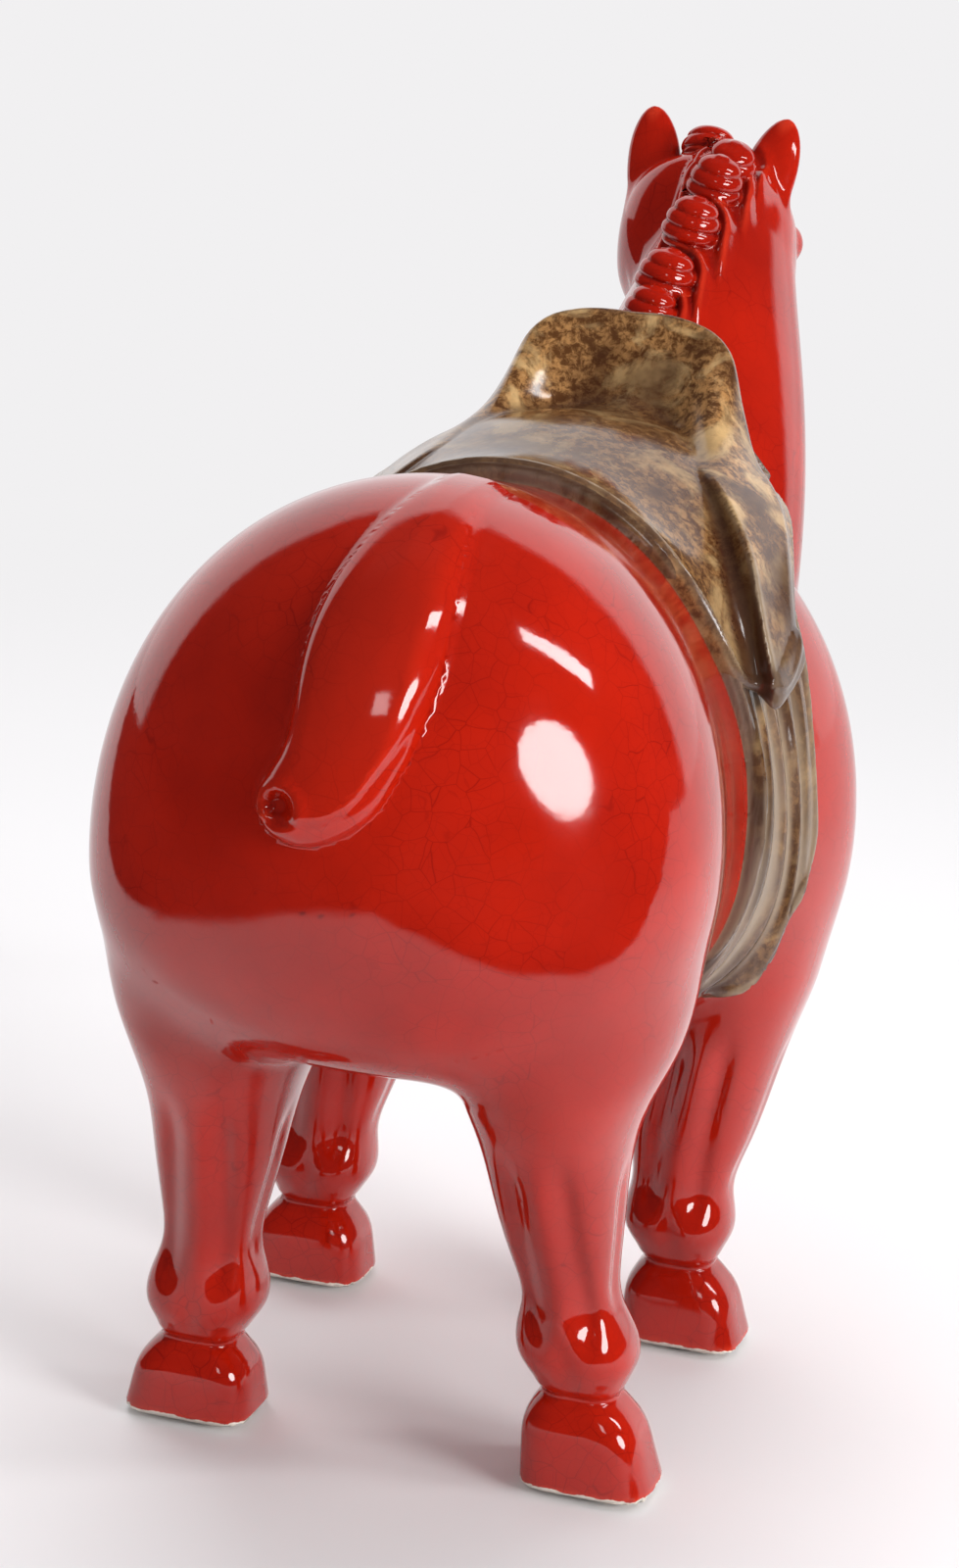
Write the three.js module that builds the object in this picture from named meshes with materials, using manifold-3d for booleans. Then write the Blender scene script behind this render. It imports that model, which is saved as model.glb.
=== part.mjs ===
// Ceramic horse figurine in the Tang style, standing, with a pleated saddle cloth and a high-fronted saddle.
// Millimetres. +Z is up, +X is the horse's left side and -Y is the way it faces.
// The body is made as real ones are: castings and hand-moulded sprigs, luted together with slip, glazed and
// fired, with a soft disc stuck under each hoof afterwards.
import * as THREE from "three";
import { mergeVertices } from "three/addons/utils/BufferGeometryUtils.js";
import Module from "manifold-3d";

const wasm = await Module();
wasm.setup();

// Joints between the clay pieces
const SLIP_GAP = 0.3;

// Trunk: three full sections, two that shape its ends, and the two points where it closes.
// Each gives its place along the spine, the height where it is widest, its half width, top and bottom.
const RUMP = { y: 68, widest: 165, half: 78.5, top: 260.3, bottom: 113 };
const WAIST = { y: -12, widest: 160, half: 69, top: 250.5, bottom: 103 };
const SHOULDER = { y: -88, widest: 148, half: 82.5, top: 246, bottom: 98 };
const BUTTOCK = { y: 112, widest: 170, half: 60, top: 246, bottom: 125 };
const BREAST = { y: -122, widest: 154, half: 63, top: 224, bottom: 107 };
const RUMP_END = { y: 136, widest: 181 };
const CHEST_END = { y: -148, widest: 160 };
const SQUARENESS_ABOVE = 2.02;
const SQUARENESS_BELOW = 2.4;
// The spine bends a little: the rump lies to the left of the feet's middle line and the withers to the right.
const SWAY_SLOPE = 0.045;
const SWAY_Y = -70;

// Vent that lets the air out of the hollow casting in the kiln
const VENT_DIAMETER = 12;
const VENT_DEPTH = 7;
const VENT_Y = -12;

// Legs: sections from the sole up. The foot is the same on all four.
const SOLE_Z = 2;
const CORONET_Z = 24;
const FETLOCK_Z = 34;
const FOOT = [
  { z: SOLE_Z, half: 17.7, long: 18, squareness: 3.8 },
  { z: 10, half: 16.6, long: 16.8, squareness: 3.6 },
  { z: 19, half: 14.3, long: 15, squareness: 3.2 },
  { z: CORONET_Z, half: 11.3, long: 12.8, squareness: 2.8 },
  { z: FETLOCK_Z, half: 15.2, long: 16.6, squareness: 2.5 },
];
const HIND_LEG = [
  ...FOOT,
  { z: 49, half: 13, long: 14.8, squareness: 2.4 },
  { z: 62, half: 13.6, long: 16, squareness: 2.4 },
  { z: 78, half: 16.3, long: 20, squareness: 2.4 },
  { z: 96, half: 19.5, long: 27, squareness: 2.3 },
  { z: 110, half: 24.5, long: 35, squareness: 2.2 },
  { z: 124, half: 30, long: 38, squareness: 2.2 },
  { z: 138, half: 30, long: 36, squareness: 2.2 },
  { z: 153, half: 20, long: 26, squareness: 2.2 },
  { z: 164, half: 0, long: 0, squareness: 2.2 },
];
const FRONT_LEG = [
  ...FOOT,
  { z: 46, half: 14.5, long: 15.5, squareness: 2.4 },
  { z: 60, half: 16.8, long: 18.5, squareness: 2.4 },
  { z: 76, half: 18.6, long: 24, squareness: 2.4 },
  { z: 96, half: 20.6, long: 30, squareness: 2.3 },
  { z: 118, half: 24, long: 36, squareness: 2.2 },
  { z: 138, half: 19, long: 30, squareness: 2.2 },
  { z: 152, half: 0, long: 0, squareness: 2.2 },
];
// How each leg stands: the (x, y) of its hoof, its fetlock and its top, and the height of its coronet
const LEG_SIDES = 16;
const HIP_Z = 104;
const STANCES = {
  leg_hind_left: { hoof: [55.6, 47], fetlock: [54.6, 50], top: [50.5, 60], coronet: 22 },
  leg_hind_right: { hoof: [-54, 48], fetlock: [-47.8, 51], top: [-38, 60], coronet: 26 },
  leg_front_left: { hoof: [60, -66], fetlock: [59.4, -64], top: [54.5, -74], coronet: 23.5 },
  leg_front_right: { hoof: [-53.7, -67], fetlock: [-48.8, -65], top: [-55, -75], coronet: 24 },
};

// Pads under the hooves
const PAD_DIAMETER = 25;
const PAD_THICKNESS = SOLE_Z;

// Neck: the middle of each section, its half width, and its reach back to the crest and forward to the throat
const NECK = [
  { y: -80, z: 192, x: -4.5, half: 53, back: 34, front: 50 },
  { y: -110, z: 219, x: -6.5, half: 48, back: 37, front: 44 },
  { y: -144, z: 256, x: -9.5, half: 37, back: 36, front: 40 },
  { y: -171, z: 292, x: -10, half: 25, back: 29, front: 33 },
  { y: -187, z: 317, x: -8.5, half: 18, back: 19, front: 25 },
  { y: -192, z: 332, x: -5, half: 0, back: 0, front: 0 },
];
const NECK_SQUARENESS = 2.0;

// Head: along the line from the poll to the lips
const HEAD_POLL = { y: -172, z: 328 };
const HEAD_X = -1.5;
const HEAD_PITCH = THREE.MathUtils.degToRad(47);
const HEAD = [
  { t: 0, half: 0, face: 0, jaw: 0 },
  { t: 12, half: 20, face: 13, jaw: 18 },
  { t: 38, half: 26.6, face: 18, jaw: 30 },
  { t: 64, half: 19, face: 15, jaw: 24 },
  { t: 92, half: 14.5, face: 12, jaw: 15 },
  { t: 108, half: 14, face: 10, jaw: 13 },
  { t: 118, half: 0, face: 0, jaw: 0 },
];
const EYE_RADIUS = 7;
const EYE = { t: 38, side: 21.5, face: 6 };
const NOSTRIL_RADIUS = 3;
const NOSTRIL = { t: 108, side: 12.5, face: 5 };
const MOUTH = { t: 96, face: -6, gape: 1.6, reach: 60 };

// Ears: where they grow from the head, how long they are, and how far they lean outwards and forwards
const EAR = { t: 22, side: 15.2, face: -2 };
const EAR_LENGTH = 34.6;
const EAR_LEAN_OUT = THREE.MathUtils.degToRad(10.5);
const EAR_LEAN_FORWARD = THREE.MathUtils.degToRad(22);
const EAR_HALF_WIDTH = 8.4;
const EAR_HALF_DEPTH = 5;
const EAR_SCOOP = 2.2;

// Knots of the mane, from the withers up: how far along the neck each stands, as a share of its length, how
// far it lies to the left of the crest, and its size. Their row crosses the crest from left to right.
const MANE = [
  { share: 0.447, side: 8, radius: 7.6, height: 15 },
  { share: 0.51, side: 6.5, radius: 8.3, height: 16 },
  { share: 0.615, side: 3.5, radius: 8, height: 16.5 },
  { share: 0.745, side: 0, radius: 7.8, height: 15.5 },
  { share: 0.875, side: -3.5, radius: 7.4, height: 13 },
];
const FORELOCK = { t: 8, side: 0.5, face: 14.5, radius: 8, height: 12 };
const KNOT_RISE = 2.2;
// Each knot stands between square to the crest and along it, and tips a little to the right.
const KNOT_LEAN = THREE.MathUtils.degToRad(50);
const KNOT_TIP = 0.22;
const KNOT_BANDS = 4;
const KNOT_BAND_DEPTH = 0.9;
const KNOT_TAPER = 0.16;
const KNOT_SQUARENESS = 2.6;

// Tail: the line of its middle as seen from behind, with half widths, and how far it stands off the rump
const TAIL = [
  { x: -3, z: 257, half: 0 },
  { x: -2.5, z: 250, half: 11.5 },
  { x: 0, z: 240, half: 14.7 },
  { x: 1, z: 229, half: 16.2 },
  { x: 1.6, z: 217, half: 16 },
  { x: 3.5, z: 205, half: 14.8 },
  { x: 8.2, z: 194.5, half: 13 },
  { x: 14.5, z: 189, half: 9.5 },
  { x: 23.5, z: 188.5, half: 0 },
];
const TAIL_HEIGHT = 8;
const TAIL_ROOT_HEIGHT = 3;
// The dimple in the middle of the tail's curl
const CURL = { x: 16.8, z: 190.8, radius: 5, depth: 2.5 };

// Saddle cloth: its thickness, its edges over the back, and the flap that hangs on each side
const CLOTH_THICKNESS = 3.2;
const FLAP_REAR_Y = -10;
const FLAP_FRONT_Y = -47;
const FLAP_TOP_Z = 206;
const CLOTH_HEM_Z = 112;
// (y, z) points round its edge as seen from the side, from the rump round the flap's hem to the withers
const CLOTH_EDGE = [
  [4, 240],
  [-1, 216],
  [FLAP_REAR_Y + 1, 190],
  [FLAP_REAR_Y, CLOTH_HEM_Z + 18],
  [FLAP_REAR_Y - 4, CLOTH_HEM_Z + 5],
  [FLAP_REAR_Y - 14, CLOTH_HEM_Z],
  [FLAP_FRONT_Y + 14, CLOTH_HEM_Z + 3],
  [FLAP_FRONT_Y + 8, CLOTH_HEM_Z + 20],
  [FLAP_FRONT_Y + 1, CLOTH_HEM_Z + 37],
  [FLAP_FRONT_Y, 172],
  [FLAP_FRONT_Y - 2, 193],
  [-56, 214],
  [-88, 240],
];
const PLEAT_DEPTH = 1.2;
const PLEAT_COUNT = 6;

// Saddle: seat shell over the cloth, and the high board in front
const SEAT_THICKNESS = 4.4;
// (y, z) points round the seat's edge as seen from the side, from the rear rim round the lobe to the withers
const SEAT_EDGE = [
  [3, 240],
  [0, 216],
  [-7, 204.5],
  [-17, 203],
  [-29, 210],
  [-41, 222],
  [-60, 234],
  [-97, 247],
];
// The board rises from the seat in a sharp crease and sweeps back down both sides to the tips of the lobes.
// For each distance from its middle line: its foot in the seat and its rim, as y and height above the back.
const BOARD_X = -2.6;
const BOARD_THICKNESS = 6;
const BOARD = [
  { side: 0, foot: [-89, 7], rim: [-101, 38.3] },
  { side: 8, foot: [-87.5, 6.8], rim: [-101, 38.3] },
  { side: 16, foot: [-82, 5.5], rim: [-100, 36.8] },
  { side: 22, foot: [-73, 4.3], rim: [-98.5, 34.1] },
  { side: 26, foot: [-66, 3.1], rim: [-97, 30.5] },
  { side: 28.5, foot: [-62, 2.3], rim: [-95.5, 26.5] },
  { side: 31.5, foot: [-57, 0.8], rim: [-92.5, 18.5] },
  { side: 35.5, foot: [-51, -1.5], rim: [-87, 9] },
  { side: 40.5, foot: [-45, -5.9], rim: [-78, -2] },
  { side: 47, foot: [-37, -12.7], rim: [-66.5, -10] },
  { side: 54, foot: [-28, -22.5], rim: [-53, -19] },
  { side: 60, foot: [-21, -36], rim: [-39, -29] },
  { side: 64, foot: [-17, -44.5], rim: [-30, -39.5] },
];
// How far its foot reaches on into the seat
const BOARD_ROOT = 5;

// Materials
const glaze = (color) => new THREE.MeshStandardMaterial({ color, roughness: 0.12, metalness: 0 });
const RED_GLAZE = glaze(0xa81410);
const BROWN_GLAZE = glaze(0x6a4a26);
const PAD_FOAM = new THREE.MeshStandardMaterial({ color: 0x161616, roughness: 0.9, metalness: 0 });

// A natural cubic spline through the points (xs[i], ys[i]).
function spline(xs, ys) {
  const last = xs.length - 1;
  const bend = new Array(last + 1).fill(0);
  const carry = new Array(last + 1).fill(0);
  for (let i = 1; i < last; i++) {
    const span = xs[i + 1] - xs[i - 1];
    const ratio = (xs[i] - xs[i - 1]) / span;
    const pivot = ratio * bend[i - 1] + 2;
    const turn = (ys[i + 1] - ys[i]) / (xs[i + 1] - xs[i]) - (ys[i] - ys[i - 1]) / (xs[i] - xs[i - 1]);
    bend[i] = (ratio - 1) / pivot;
    carry[i] = ((6 * turn) / span - ratio * carry[i - 1]) / pivot;
  }
  for (let i = last - 1; i >= 0; i--) bend[i] = bend[i] * bend[i + 1] + carry[i];
  return (x) => {
    let i = 0;
    while (i < last - 1 && x > xs[i + 1]) i++;
    const h = xs[i + 1] - xs[i];
    const a = (xs[i + 1] - x) / h;
    const b = (x - xs[i]) / h;
    return a * ys[i] + b * ys[i + 1] + (((a ** 3 - a) * bend[i] + (b ** 3 - b) * bend[i + 1]) * h * h) / 6;
  };
}

// A half size along a skin. Its square is what the spline follows, so that a skin which closes to a point
// closes round, like an egg.
function halfSize(ts, halves) {
  const square = spline(ts, halves.map((half) => half * half));
  return (t) => Math.sqrt(Math.max(square(t), 0));
}

// A point on a superellipse: angle 0 is across, a quarter turn is up.
function superellipse(angle, half, up, down, squareness) {
  const c = Math.cos(angle);
  const s = Math.sin(angle);
  const power = 2 / squareness;
  const reach = s > 0 ? up : down;
  return [half * Math.sign(c) * Math.abs(c) ** power, reach * Math.sign(s) * Math.abs(s) ** power];
}

// Places from 0 to 1 for the rings of a skin. They crowd towards an end that is round.
function places(rings, roundStart, roundEnd) {
  const easing = {
    "true,true": (u) => (1 - Math.cos(Math.PI * u)) / 2,
    "false,true": (u) => Math.sin((Math.PI / 2) * u),
    "true,false": (u) => 1 - Math.cos((Math.PI / 2) * u),
    "false,false": (u) => u,
  }[`${roundStart},${roundEnd}`];
  return Array.from({ length: rings + 1 }, (_, i) => easing(i / rings));
}

// A closed skin of rings. ringPoint(t, angle) gives the points of the ring at t, and both ends are closed
// with a fan round the ring's middle.
function skin(ringPoint, ts, sides) {
  const rings = ts.length - 1;
  const points = [];
  for (const t of ts) {
    for (let j = 0; j < sides; j++) points.push(ringPoint(t, (2 * Math.PI * j) / sides));
  }
  const middle = (ring) => {
    const sum = new THREE.Vector3();
    for (let j = 0; j < sides; j++) sum.add(points[ring * sides + j]);
    return sum.divideScalar(sides);
  };
  points.push(middle(0), middle(rings));
  const start = points.length - 2;
  const end = points.length - 1;
  const index = [];
  for (let i = 0; i < rings; i++) {
    for (let j = 0; j < sides; j++) {
      const a = i * sides + j;
      const b = i * sides + ((j + 1) % sides);
      index.push(a, b, a + sides, b, b + sides, a + sides);
    }
  }
  for (let j = 0; j < sides; j++) {
    const next = (j + 1) % sides;
    index.push(start, next, j, end, rings * sides + j, rings * sides + next);
  }
  const geometry = new THREE.BufferGeometry().setFromPoints(points);
  geometry.setIndex(index);
  return geometry;
}

// A manifold solid from a closed geometry, turned to face outwards.
function solid(geometry) {
  const bare = geometry.clone();
  bare.deleteAttribute("normal");
  bare.deleteAttribute("uv");
  const merged = mergeVertices(bare, 1e-4);
  const vertProperties = new Float32Array(merged.attributes.position.array);
  const corners = [];
  for (let i = 0; i < merged.index.count; i += 3) {
    const [a, b, c] = [0, 1, 2].map((k) => merged.index.array[i + k]);
    if (a !== b && b !== c && c !== a) corners.push(a, b, c);
  }
  const build = () => {
    const mesh = new wasm.Mesh({ numProp: 3, vertProperties, triVerts: new Uint32Array(corners) });
    return new wasm.Manifold(mesh);
  };
  const made = build();
  if (made.volume() >= 0) return made;
  corners.reverse();
  return build();
}

// The same solid with its surface moved outwards by a distance, or by distanceAt(x, y, z).
function grown(body, distance) {
  const distanceAt = typeof distance === "function" ? distance : () => distance;
  const { vertProperties, triVerts } = body.getMesh();
  const geometry = new THREE.BufferGeometry();
  geometry.setAttribute("position", new THREE.BufferAttribute(new Float32Array(vertProperties), 3));
  geometry.setIndex(new THREE.BufferAttribute(new Uint32Array(triVerts), 1));
  geometry.computeVertexNormals();
  const { position, normal } = geometry.attributes;
  for (let i = 0; i < position.count; i++) {
    const [x, y, z] = [position.getX(i), position.getY(i), position.getZ(i)];
    const move = distanceAt(x, y, z);
    position.setXYZ(i, x + move * normal.getX(i), y + move * normal.getY(i), z + move * normal.getZ(i));
  }
  return solid(geometry);
}

const group = new THREE.Group();

// Adds a solid to the group as a named mesh.
function piece(name, body, material) {
  const { vertProperties, triVerts } = body.getMesh();
  const geometry = new THREE.BufferGeometry();
  geometry.setAttribute("position", new THREE.BufferAttribute(new Float32Array(vertProperties), 3));
  geometry.setIndex(new THREE.BufferAttribute(new Uint32Array(triVerts), 1));
  const mesh = new THREE.Mesh(geometry, material);
  mesh.name = name;
  group.add(mesh);
  return body;
}

// Trunk

const trunkStations = [CHEST_END, BREAST, SHOULDER, WAIST, RUMP, BUTTOCK, RUMP_END].map((section) => ({
  y: section.y,
  widest: section.widest,
  half: section.half ?? 0,
  up: (section.top ?? section.widest) - section.widest,
  down: section.widest - (section.bottom ?? section.widest),
}));
const trunkYs = trunkStations.map((station) => station.y);
const trunk = {
  widest: spline(trunkYs, trunkStations.map((station) => station.widest)),
  half: halfSize(trunkYs, trunkStations.map((station) => station.half)),
  up: halfSize(trunkYs, trunkStations.map((station) => station.up)),
  down: halfSize(trunkYs, trunkStations.map((station) => station.down)),
};

const sway = (y) => SWAY_SLOPE * (y - SWAY_Y);

function trunkPoint(y, angle) {
  const squareness = angle < Math.PI ? SQUARENESS_ABOVE : SQUARENESS_BELOW;
  const [across, rise] = superellipse(angle, trunk.half(y), trunk.up(y), trunk.down(y), squareness);
  return new THREE.Vector3(sway(y) + across, y, trunk.widest(y) + rise);
}

// The trunk's skin between two places on the spine.
function trunkSkin(fromY, toY, rings, sides) {
  const ts = places(rings, fromY === CHEST_END.y, toY === RUMP_END.y);
  return solid(skin((t, angle) => trunkPoint(fromY + t * (toY - fromY), angle), ts, sides));
}

// How far back the rump's surface lies behind the point (x, z).
function rumpSurfaceY(x, z) {
  const outside = (y) => {
    const rise = z - trunk.widest(y);
    const reach = rise > 0 ? trunk.up(y) : trunk.down(y);
    const squareness = rise > 0 ? SQUARENESS_ABOVE : SQUARENESS_BELOW;
    const across = Math.abs((x - sway(y)) / Math.max(trunk.half(y), 1e-6)) ** squareness;
    return across + Math.abs(rise / Math.max(reach, 1e-6)) ** squareness > 1;
  };
  let [near, far] = [RUMP.y - 40, RUMP_END.y];
  for (let i = 0; i < 30; i++) {
    const middle = (near + far) / 2;
    if (outside(middle)) far = middle;
    else near = middle;
  }
  return near;
}

const vent = new THREE.CylinderGeometry(VENT_DIAMETER / 2, VENT_DIAMETER / 2, 4 * VENT_DEPTH, 32);
vent.rotateX(Math.PI / 2);
vent.translate(sway(VENT_Y), VENT_Y, trunk.widest(VENT_Y) - trunk.down(VENT_Y) - VENT_DEPTH);
const trunkBody = trunkSkin(CHEST_END.y, RUMP_END.y, 30, 36);
const trunkClear = grown(trunkBody, SLIP_GAP);
piece("trunk", trunkBody.subtract(solid(vent)), RED_GLAZE);

// Legs, each luted to the trunk's underside, and the pads stuck under them

function leg(sections, { hoof, fetlock, top, coronet }) {
  // The foot is drawn out or pressed down to bring its coronet to its own height.
  const heights = sections.map(({ z }) => {
    if (z <= CORONET_Z) return SOLE_Z + ((z - SOLE_Z) * (coronet - SOLE_Z)) / (CORONET_Z - SOLE_Z);
    return z > FETLOCK_Z ? z : z + coronet - CORONET_Z;
  });
  const fetlockZ = FETLOCK_Z + coronet - CORONET_Z;
  const topZ = heights[heights.length - 1];
  const standZs = [SOLE_Z, coronet, fetlockZ, HIP_Z, topZ];
  const atCoronet = [0, 1].map((k) => hoof[k] + 0.7 * (fetlock[k] - hoof[k]));
  const x = spline(standZs, [hoof[0], atCoronet[0], fetlock[0], top[0], top[0]]);
  const y = spline(standZs, [hoof[1], atCoronet[1], fetlock[1], top[1], top[1]]);
  const half = halfSize(heights, sections.map((section) => section.half));
  const long = halfSize(heights, sections.map((section) => section.long));
  const squareness = spline(heights, sections.map((section) => section.squareness));
  // Two rings to each section, and closer ones under the round top
  const ringZs = heights.flatMap((z, i) => (i ? [(heights[i - 1] + z) / 2, z] : [z]));
  ringZs.splice(-1, 0, topZ - 1.5);
  const ringPoint = (z, angle) => {
    const [across, along] = superellipse(angle, half(z), long(z), long(z), squareness(z));
    return new THREE.Vector3(x(z) + across, y(z) + along, z);
  };
  // How far out from the middle line x = 0 the leg reaches at (y, z)
  const reachAt = (atY, z) => {
    if (z < SOLE_Z || z > topZ) return 0;
    const share = 1 - (Math.abs(atY - y(z)) / Math.max(long(z), 1e-6)) ** squareness(z);
    return share > 0 ? Math.abs(x(z)) + half(z) * share ** (1 / squareness(z)) : 0;
  };
  return { body: solid(skin(ringPoint, ringZs, LEG_SIDES)), reachAt };
}
const legs = {};
for (const [name, stance] of Object.entries(STANCES)) {
  legs[name] = leg(name.includes("hind") ? HIND_LEG : FRONT_LEG, stance);
  piece(name, legs[name].body.subtract(trunkClear), RED_GLAZE);

  const pad = new THREE.CylinderGeometry(PAD_DIAMETER / 2, PAD_DIAMETER / 2, PAD_THICKNESS, 24);
  pad.rotateX(Math.PI / 2);
  pad.translate(stance.hoof[0], stance.hoof[1], PAD_THICKNESS / 2);
  piece(name.replace("leg", "pad"), solid(pad), PAD_FOAM);
}
const shoulders = [legs.leg_front_left, legs.leg_front_right];
const shoulderClear = grown(shoulders[0].body.add(shoulders[1].body), SLIP_GAP);

// Saddle cloth: the trunk's own skin, thickened, pleated and cut to the cloth's outline

function sidePrism(shape) {
  const reach = 2 * SHOULDER.half;
  const prism = new THREE.ExtrudeGeometry(shape, { depth: 2 * reach, bevelEnabled: false, curveSegments: 3 });
  // The shape is drawn with y across and z up; its thickness is turned to lie along x.
  prism.applyMatrix4(new THREE.Matrix4().set(0, 0, 1, -reach, 1, 0, 0, 0, 0, 1, 0, 0, 0, 0, 0, 1));
  return solid(prism);
}

const ABOVE_ALL = 2 * RUMP.top;
// A shape whose lower edge runs through the points and whose upper edge is above everything.
function hangingShape(edge) {
  const points = edge.map(([y, z]) => new THREE.Vector2(y, z));
  const shape = new THREE.Shape();
  shape.moveTo(points[0].x, ABOVE_ALL);
  shape.lineTo(points[0].x, points[0].y);
  shape.splineThru(points.slice(1));
  shape.lineTo(points[points.length - 1].x, ABOVE_ALL);
  return shape;
}

// How far a shoulder stands out of the trunk at a point of the trunk's side.
function shoulderSwell(x, y, z) {
  const reach = (x > 0 ? shoulders[0] : shoulders[1]).reachAt(y, z);
  return Math.max(reach - Math.abs(x), 0);
}

// Pleats run down the flaps and die away towards the saddle.
function clothSwell(x, y, z) {
  const share = (y - FLAP_FRONT_Y) / (FLAP_REAR_Y - FLAP_FRONT_Y);
  const fall = THREE.MathUtils.smoothstep(FLAP_TOP_Z - z, 0, (FLAP_TOP_Z - CLOTH_HEM_Z) / 2);
  const pleat = PLEAT_DEPTH * fall * Math.cos(2 * Math.PI * PLEAT_COUNT * share);
  return SLIP_GAP + CLOTH_THICKNESS + pleat + shoulderSwell(x, y, z);
}
const clothRear = CLOTH_EDGE[0][0];
const clothFront = CLOTH_EDGE[CLOTH_EDGE.length - 1][0];
const clothSkin = trunkSkin(clothFront - 12, clothRear + 6, 28, 36);
const clothOuter = grown(clothSkin, clothSwell);
const clothBody = clothOuter.intersect(sidePrism(hangingShape(CLOTH_EDGE))).subtract(trunkClear);
piece("saddle_cloth", clothBody.subtract(shoulderClear), BROWN_GLAZE);

// Saddle: a seat shell laid on the cloth, with the board standing across its front

const seatFront = SEAT_EDGE[SEAT_EDGE.length - 1][0];
const seatSkin = trunkSkin(seatFront - 9, SEAT_EDGE[0][0] + 6, 16, 36);
const seatOuter = grown(seatSkin, (x, y, z) => clothSwell(x, y, z) + SLIP_GAP + SEAT_THICKNESS);
const clothClear = grown(clothSkin, (x, y, z) => clothSwell(x, y, z) + SLIP_GAP);

function boardPlate() {
  const sides = BOARD.map((section) => section.side);
  const [footY, footUp, rimY, rimUp] = ["foot", "rim"].flatMap((end) => [0, 1].map((k) => (
    spline(sides, BOARD.map((section) => section[end][k]))
  )));
  const ringPoint = (side, angle) => {
    const away = Math.abs(side);
    const foot = new THREE.Vector3(BOARD_X + side, footY(away), WAIST.top + footUp(away));
    const rim = new THREE.Vector3(BOARD_X + side, rimY(away), WAIST.top + rimUp(away));
    const up = rim.clone().sub(foot).normalize();
    const out = new THREE.Vector3(0, up.z, -up.y);
    foot.addScaledVector(up, -BOARD_ROOT);
    const reach = rim.distanceTo(foot) / 2;
    const [along, rise] = superellipse(angle, reach, BOARD_THICKNESS / 2, BOARD_THICKNESS / 2, 4);
    return foot.addScaledVector(up, reach + along).addScaledVector(out, rise);
  };
  const toTheRight = sides.slice(1).reverse().map((side) => -side);
  return solid(skin(ringPoint, [...toTheRight, ...sides], 14));
}
const seatBody = seatOuter.intersect(sidePrism(hangingShape(SEAT_EDGE)));
const saddleBody = seatBody.add(boardPlate()).subtract(clothClear);
piece("saddle", saddleBody.subtract(trunkClear), BROWN_GLAZE);
const saddleClear = grown(saddleBody, SLIP_GAP).add(saddleBody);

// A skin along a line of sections that bends within the x = constant plane. Each section has its middle
// (y, z), and lies square to the line.
function bentSkin(sections, offsets, squareness, rings, sides, roundStart) {
  const ts = sections.map((section, i) => i);
  const xs = spline(ts, sections.map((section) => section.x));
  const ys = spline(ts, sections.map((section) => section.y));
  const zs = spline(ts, sections.map((section) => section.z));
  const half = halfSize(ts, sections.map((section) => section.half));
  const above = halfSize(ts, sections.map((section) => section[offsets[0]]));
  const below = halfSize(ts, sections.map((section) => section[offsets[1]]));
  const last = ts.length - 1;
  const frameAt = (share) => {
    const t = share * last;
    const step = 0.01;
    const along = new THREE.Vector3(0, ys(t + step) - ys(t - step), zs(t + step) - zs(t - step)).normalize();
    // Square to the line, on the crest's side
    const out = new THREE.Vector3(0, along.z, -along.y);
    return { t, along, out, middle: new THREE.Vector3(xs(t), ys(t), zs(t)) };
  };
  const ringPoint = (share, angle) => {
    const { t, out, middle } = frameAt(share);
    const [across, rise] = superellipse(angle, half(t), above(t), below(t), squareness);
    return middle.clone().addScaledVector(out, rise).add(new THREE.Vector3(across, 0, 0));
  };
  return { body: solid(skin(ringPoint, places(rings, roundStart, true), sides)), frameAt, above };
}

// Neck and head

const neck = bentSkin(NECK, ["back", "front"], NECK_SQUARENESS, 15, 22, false);
const headSections = HEAD.map((section) => ({
  ...section,
  x: HEAD_X,
  y: HEAD_POLL.y - section.t * Math.cos(HEAD_PITCH),
  z: HEAD_POLL.z - section.t * Math.sin(HEAD_PITCH),
}));
const head = bentSkin(headSections, ["face", "jaw"], NECK_SQUARENESS, 13, 18, true);

// A point on the head: t along it, side to the left, face out of the forehead.
function headPoint(t, side, face) {
  const y = HEAD_POLL.y - t * Math.cos(HEAD_PITCH) - face * Math.sin(HEAD_PITCH);
  const z = HEAD_POLL.z - t * Math.sin(HEAD_PITCH) + face * Math.cos(HEAD_PITCH);
  return new THREE.Vector3(HEAD_X + side, y, z);
}

function ball(radius, middle) {
  const geometry = new THREE.SphereGeometry(radius, 12, 8);
  geometry.translate(middle.x, middle.y, middle.z);
  return solid(geometry);
}

let neckAndHead = neck.body.add(head.body);
for (const side of [1, -1]) {
  neckAndHead = neckAndHead.add(ball(EYE_RADIUS, headPoint(EYE.t, side * EYE.side, EYE.face)));
  const nostril = headPoint(NOSTRIL.t, side * NOSTRIL.side, NOSTRIL.face);
  neckAndHead = neckAndHead.subtract(ball(NOSTRIL_RADIUS, nostril));
}
const mouth = new THREE.BoxGeometry(MOUTH.reach, MOUTH.reach, MOUTH.gape);
mouth.rotateX(HEAD_PITCH);
const lips = headPoint(MOUTH.t + MOUTH.reach / 2, 0, MOUTH.face);
mouth.translate(lips.x, lips.y, lips.z);
neckAndHead = neckAndHead.subtract(solid(mouth));
const neckClear = grown(neckAndHead, SLIP_GAP);
for (const clear of [trunkClear, saddleClear, clothClear, shoulderClear]) {
  neckAndHead = neckAndHead.subtract(clear);
}
piece("neck_and_head", neckAndHead, RED_GLAZE);

// Ears: leaves with their hollow side forward

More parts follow.
